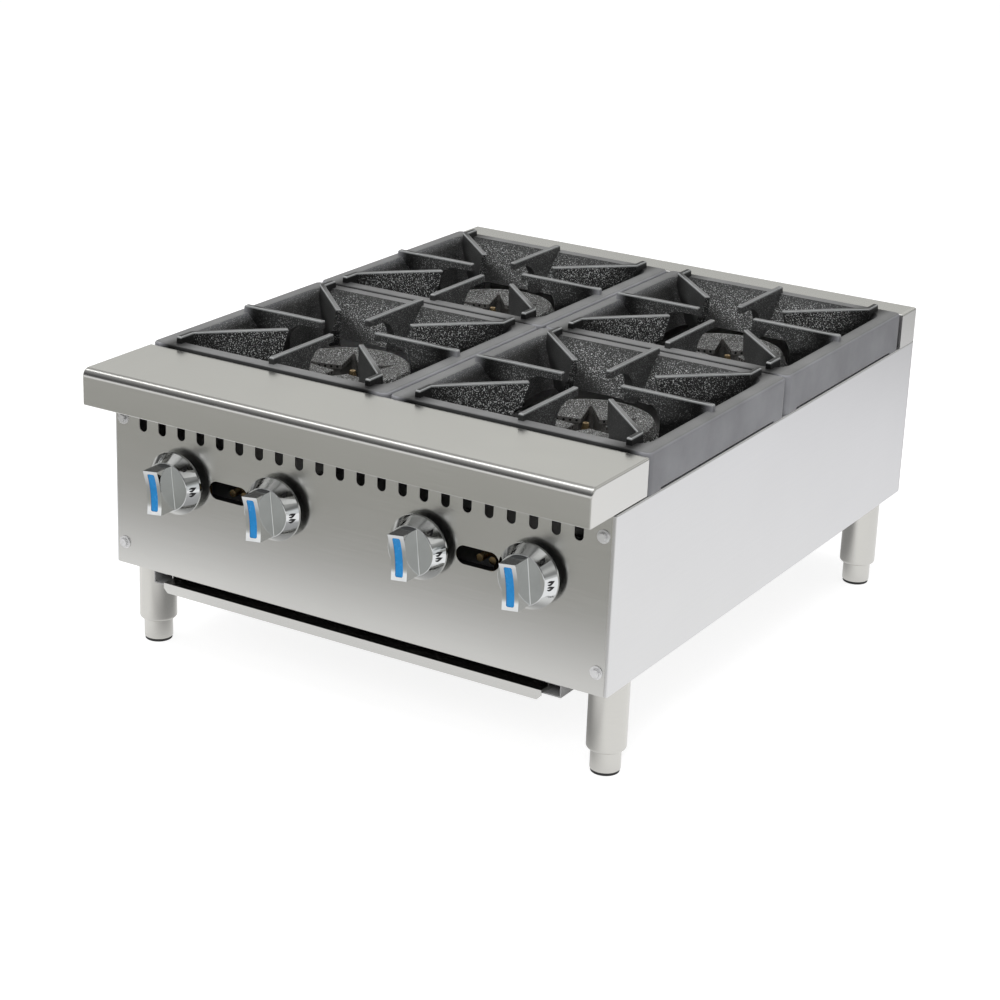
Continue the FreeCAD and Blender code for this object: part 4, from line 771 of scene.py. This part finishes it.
def add_lamp(name, place, aim, length, width, power, mirrored):
    """A soft lamp that faces a point, and that polished metal may mirror or not."""
    data = bpy.data.lights.new(name, "AREA")
    data.shape = "RECTANGLE"
    data.size = length
    data.size_y = width
    data.energy = power
    lamp = bpy.data.objects.new(name, data)
    lamp.location = place
    lamp.rotation_euler = (Vector(aim) - Vector(place)).to_track_quat("-Z", "Y").to_euler()
    lamp.visible_glossy = mirrored
    bpy.context.scene.collection.objects.link(lamp)


def smooth_share(tree, value, low, high):
    """A share that eases from 0 to 1 as a value goes from one limit to another."""
    limits = {"Value": value, "From Min": low, "From Max": high}
    return add(tree, "ShaderNodeMapRange", limits, interpolation_type="SMOOTHSTEP").outputs["Result"]


def tone_ramp(tree, value, stops):
    """A colour that goes through the given stops, each a value and a colour."""
    low = stops[0][0]
    high = stops[-1][0]
    made = add(tree, "ShaderNodeValToRGB", {0: remap(tree, value, low, high)})
    elements = made.color_ramp.elements
    elements[0].color = stops[0][1]
    elements[-1].color = stops[-1][1]
    for place, colour in stops[1:-1]:
        elements.new((place - low) / (high - low)).color = colour
    return made.outputs[0]


# What polished metal mirrors: the floor's tones from front to back, with a painted shadow under the stove
FLOOR_TONES = (
    (-2.4, WHITE), (-1.5, grey(0.46, 0.05)), (-1.15, grey(0.385, 0.07)), (-0.86, grey(0.37, 0.06)),
    (-0.73, grey(0.40, 0.04)), (-0.66, grey(0.60)), (-0.60, grey(0.74)), (-0.56, WHITE), (0.1, WHITE),
    (0.9, grey(0.92, -0.02)), (1.8, grey(0.46)),
)
FLOOR_UNDER = 0.32
# Distances from the middle between which the floor goes from the painted shadow under the stove to open
UNDER_ACROSS = (0.16, 0.34)
UNDER_ALONG = (0.32, 0.60)
# The painted pool of light at the right: where it starts across, ends at the back and fades in front
PATCH_ACROSS = (0.30, 0.55)
PATCH_BACK = (0.1, -0.2)
PATCH_FRONT = (-0.95, -0.65)
PATCH_FADED = 0.20
# The surround's tones by height, behind the stove and in front of it, and where one takes over
BACK_TONES = (
    (0.0, grey(0.36, 0.03)), (0.20, grey(0.38, 0.03)), (0.33, grey(0.78, 0.04)), (0.42, grey(0.78, 0.04)),
    (0.56, grey(0.40, 0.03)), (0.80, grey(0.36, 0.03)), (0.90, grey(0.85)),
)
FRONT_TONES = (
    (0.0, WHITE), (0.03, WHITE), (0.10, grey(0.07)), (0.45, grey(0.10)), (0.78, grey(0.33)),
    (0.90, grey(0.85)),
)
FRONT_SPAN = (0.1, -0.4)
# The floor as the camera sees it: its own glow, and the share of its colour that takes shadows
FLOOR_GLOW = 0.80
FLOOR_SHADE = 0.55


class HOTPLATE_OT_stage(bpy.types.Operator):
    """A pale floor, soft lamps, a surround that polished metal mirrors in bands, and the camera"""
    bl_idname = "hotplate.stage"
    bl_label = "Stage"

    def execute(self, context):
        light = context.scene.hotplate_light
        self.lay_floor(context, light)
        self.light_surround(context, light)
        add_lamp("Softbox", *SOFTBOX, light.softbox, mirrored=False)
        add_lamp("Strip lamp", *STRIP_LAMP, light.strip, mirrored=True)
        add_lamp("Key lamp", *KEY_LAMP, light.key, mirrored=False)
        self.set_camera(context, light)
        return {"FINISHED"}

    def lay_floor(self, context, light):
        """A wide floor: white to the camera but for the stove's shadow, and shaded to polished metal, with a
        painted shadow under the stove and a painted pool of light at the right.
        """
        half = 20.0
        mesh = bpy.data.meshes.new("Floor")
        corners = [(-half, -half, 0), (half, -half, 0), (half, half, 0), (-half, half, 0)]
        mesh.from_pydata(corners, [], [(0, 1, 2, 3)])
        material = bpy.data.materials.new("Floor paper")
        material.use_nodes = True
        tree = material.node_tree
        tree.nodes.clear()
        path = add(tree, "ShaderNodeLightPath")
        where = add(tree, "ShaderNodeTexCoord").outputs["Object"]
        tooth = add(tree, "ShaderNodeTexNoise", {"Vector": where, "Scale": 40.0, "Detail": 2.0})
        paper = blend_colours(tree, tooth.outputs["Fac"], shade(light.floor, 0.99), shade(light.floor, 1.01))
        matte = add(tree, "ShaderNodeBsdfDiffuse", {"Color": paper})
        across, along, _ = add(tree, "ShaderNodeSeparateXYZ", {0: where}).outputs
        patch = calculate(tree, "MULTIPLY", smooth_share(tree, across, *PATCH_ACROSS),
                          smooth_share(tree, along, *PATCH_BACK))
        faded = calculate(tree, "MULTIPLY", patch, remap(tree, along, *PATCH_FRONT, PATCH_FADED, 1.0))
        tone = blend_colours(tree, faded, tone_ramp(tree, along, FLOOR_TONES), WHITE)
        beside = smooth_share(tree, calculate(tree, "ABSOLUTE", across), *UNDER_ACROSS)
        ahead = smooth_share(tree, calculate(tree, "ABSOLUTE", along), *UNDER_ALONG)
        outside = remap(tree, calculate(tree, "MAXIMUM", beside, ahead), 0, 1, FLOOR_UNDER, 1.0)
        mirrored = add(tree, "ShaderNodeEmission", {"Color": tone, "Strength": outside})
        shadowed = add(tree, "ShaderNodeBsdfDiffuse", {"Color": shade(light.floor, FLOOR_SHADE)})
        glow = add(tree, "ShaderNodeEmission", {"Color": WHITE, "Strength": FLOOR_GLOW})
        lit = add(tree, "ShaderNodeAddShader", {0: shadowed.outputs[0], 1: glow.outputs[0]})
        polished = calculate(tree, "MAXIMUM", path.outputs["Is Glossy Ray"],
                             path.outputs["Is Transmission Ray"])
        unseen = add(tree, "ShaderNodeMixShader", {0: polished, 1: matte.outputs[0], 2: mirrored.outputs[0]})
        seen = add(tree, "ShaderNodeMixShader", {
            0: path.outputs["Is Camera Ray"], 1: unseen.outputs[0], 2: lit.outputs[0],
        })
        add(tree, "ShaderNodeOutputMaterial", {"Surface": seen.outputs[0]})
        mesh.materials.append(material)
        floor = bpy.data.objects.new("Floor", mesh)
        context.scene.collection.objects.link(floor)

    def light_surround(self, context, light):
        """White to the camera, banded by height to polished metal, and a soft even light elsewhere."""
        world = bpy.data.worlds.new("Surround")
        world.use_nodes = True
        tree = world.node_tree
        tree.nodes.clear()
        path = add(tree, "ShaderNodeLightPath")
        way = add(tree, "ShaderNodeSeparateXYZ", {0: add(tree, "ShaderNodeTexCoord").outputs["Generated"]})
        front = smooth_share(tree, way.outputs["Y"], *FRONT_SPAN)
        bands = blend_colours(tree, front, tone_ramp(tree, way.outputs["Z"], BACK_TONES),
                              tone_ramp(tree, way.outputs["Z"], FRONT_TONES))
        room = add(tree, "ShaderNodeBackground", {"Color": bands})
        even = add(tree, "ShaderNodeBackground", {"Color": WHITE, "Strength": light.sky})
        white = add(tree, "ShaderNodeBackground", {"Color": WHITE})
        polished = calculate(tree, "MAXIMUM", path.outputs["Is Glossy Ray"],
                             path.outputs["Is Transmission Ray"])
        unseen = add(tree, "ShaderNodeMixShader", {0: polished, 1: even.outputs[0], 2: room.outputs[0]})
        seen = add(tree, "ShaderNodeMixShader", {
            0: path.outputs["Is Camera Ray"], 1: unseen.outputs[0], 2: white.outputs[0],
        })
        add(tree, "ShaderNodeOutputWorld", {"Surface": seen.outputs[0]})
        context.scene.world = world
        context.scene.view_settings.view_transform = "Standard"

    def set_camera(self, context, light):
        """A camera at the chosen angles that looks at its aim."""
        data = bpy.data.cameras.new("Camera")
        data.sensor_width = 36
        data.lens = light.lens
        data.clip_end = 100
        camera = bpy.data.objects.new("Camera", data)
        context.scene.collection.objects.link(camera)
        around = Matrix.Rotation(light.azimuth, 4, "Z")
        tilt = Matrix.Rotation(math.pi / 2 - light.elevation, 4, "X")
        roll = Matrix.Rotation(light.roll, 4, "Z")
        away = Matrix.Translation((0, 0, light.distance))
        camera.matrix_world = Matrix.Translation(light.aim) @ around @ tilt @ roll @ away
        context.scene.camera = camera


# Panel and registration

OPERATORS = (
    HOTPLATE_OT_sheet_metal, HOTPLATE_OT_inner_sheet, HOTPLATE_OT_legs, HOTPLATE_OT_grates,
    HOTPLATE_OT_burners, HOTPLATE_OT_gas_ports, HOTPLATE_OT_gas_train, HOTPLATE_OT_knobs,
    HOTPLATE_OT_flame_marks, HOTPLATE_OT_stage,
)


class HOTPLATE_PT_panel(bpy.types.Panel):
    """Lists the steps that finish the hot plate"""
    bl_idname = "HOTPLATE_PT_panel"
    bl_label = "Hot Plate"
    bl_space_type = "VIEW_3D"
    bl_region_type = "UI"
    bl_category = "Hot Plate"

    def draw(self, context):
        for step in OPERATORS:
            self.layout.operator(step.bl_idname)


GROUPS = {
    "hotplate_sheet": SheetFinish,
    "hotplate_iron": IronFinish,
    "hotplate_ports": BurnerPorts,
    "hotplate_knob": KnobFinish,
    "hotplate_gas": GasFinish,
    "hotplate_light": StudioLight,
}


def register():
    for name, group in GROUPS.items():
        bpy.utils.register_class(group)
        setattr(bpy.types.Scene, name, PointerProperty(type=group))
    for step in (*OPERATORS, HOTPLATE_PT_panel):
        bpy.utils.register_class(step)


def unregister():
    for step in reversed((*OPERATORS, HOTPLATE_PT_panel)):
        bpy.utils.unregister_class(step)
    for name, group in GROUPS.items():
        delattr(bpy.types.Scene, name)
        bpy.utils.unregister_class(group)


def main():
    """Run every step in order."""
    register()
    bpy.ops.hotplate.sheet_metal()
    bpy.ops.hotplate.inner_sheet()
    bpy.ops.hotplate.legs()
    bpy.ops.hotplate.grates()
    bpy.ops.hotplate.burners()
    bpy.ops.hotplate.gas_ports()
    bpy.ops.hotplate.gas_train()
    bpy.ops.hotplate.knobs()
    bpy.ops.hotplate.flame_marks()
    bpy.ops.hotplate.stage()


if __name__ == "__main__":
    main()
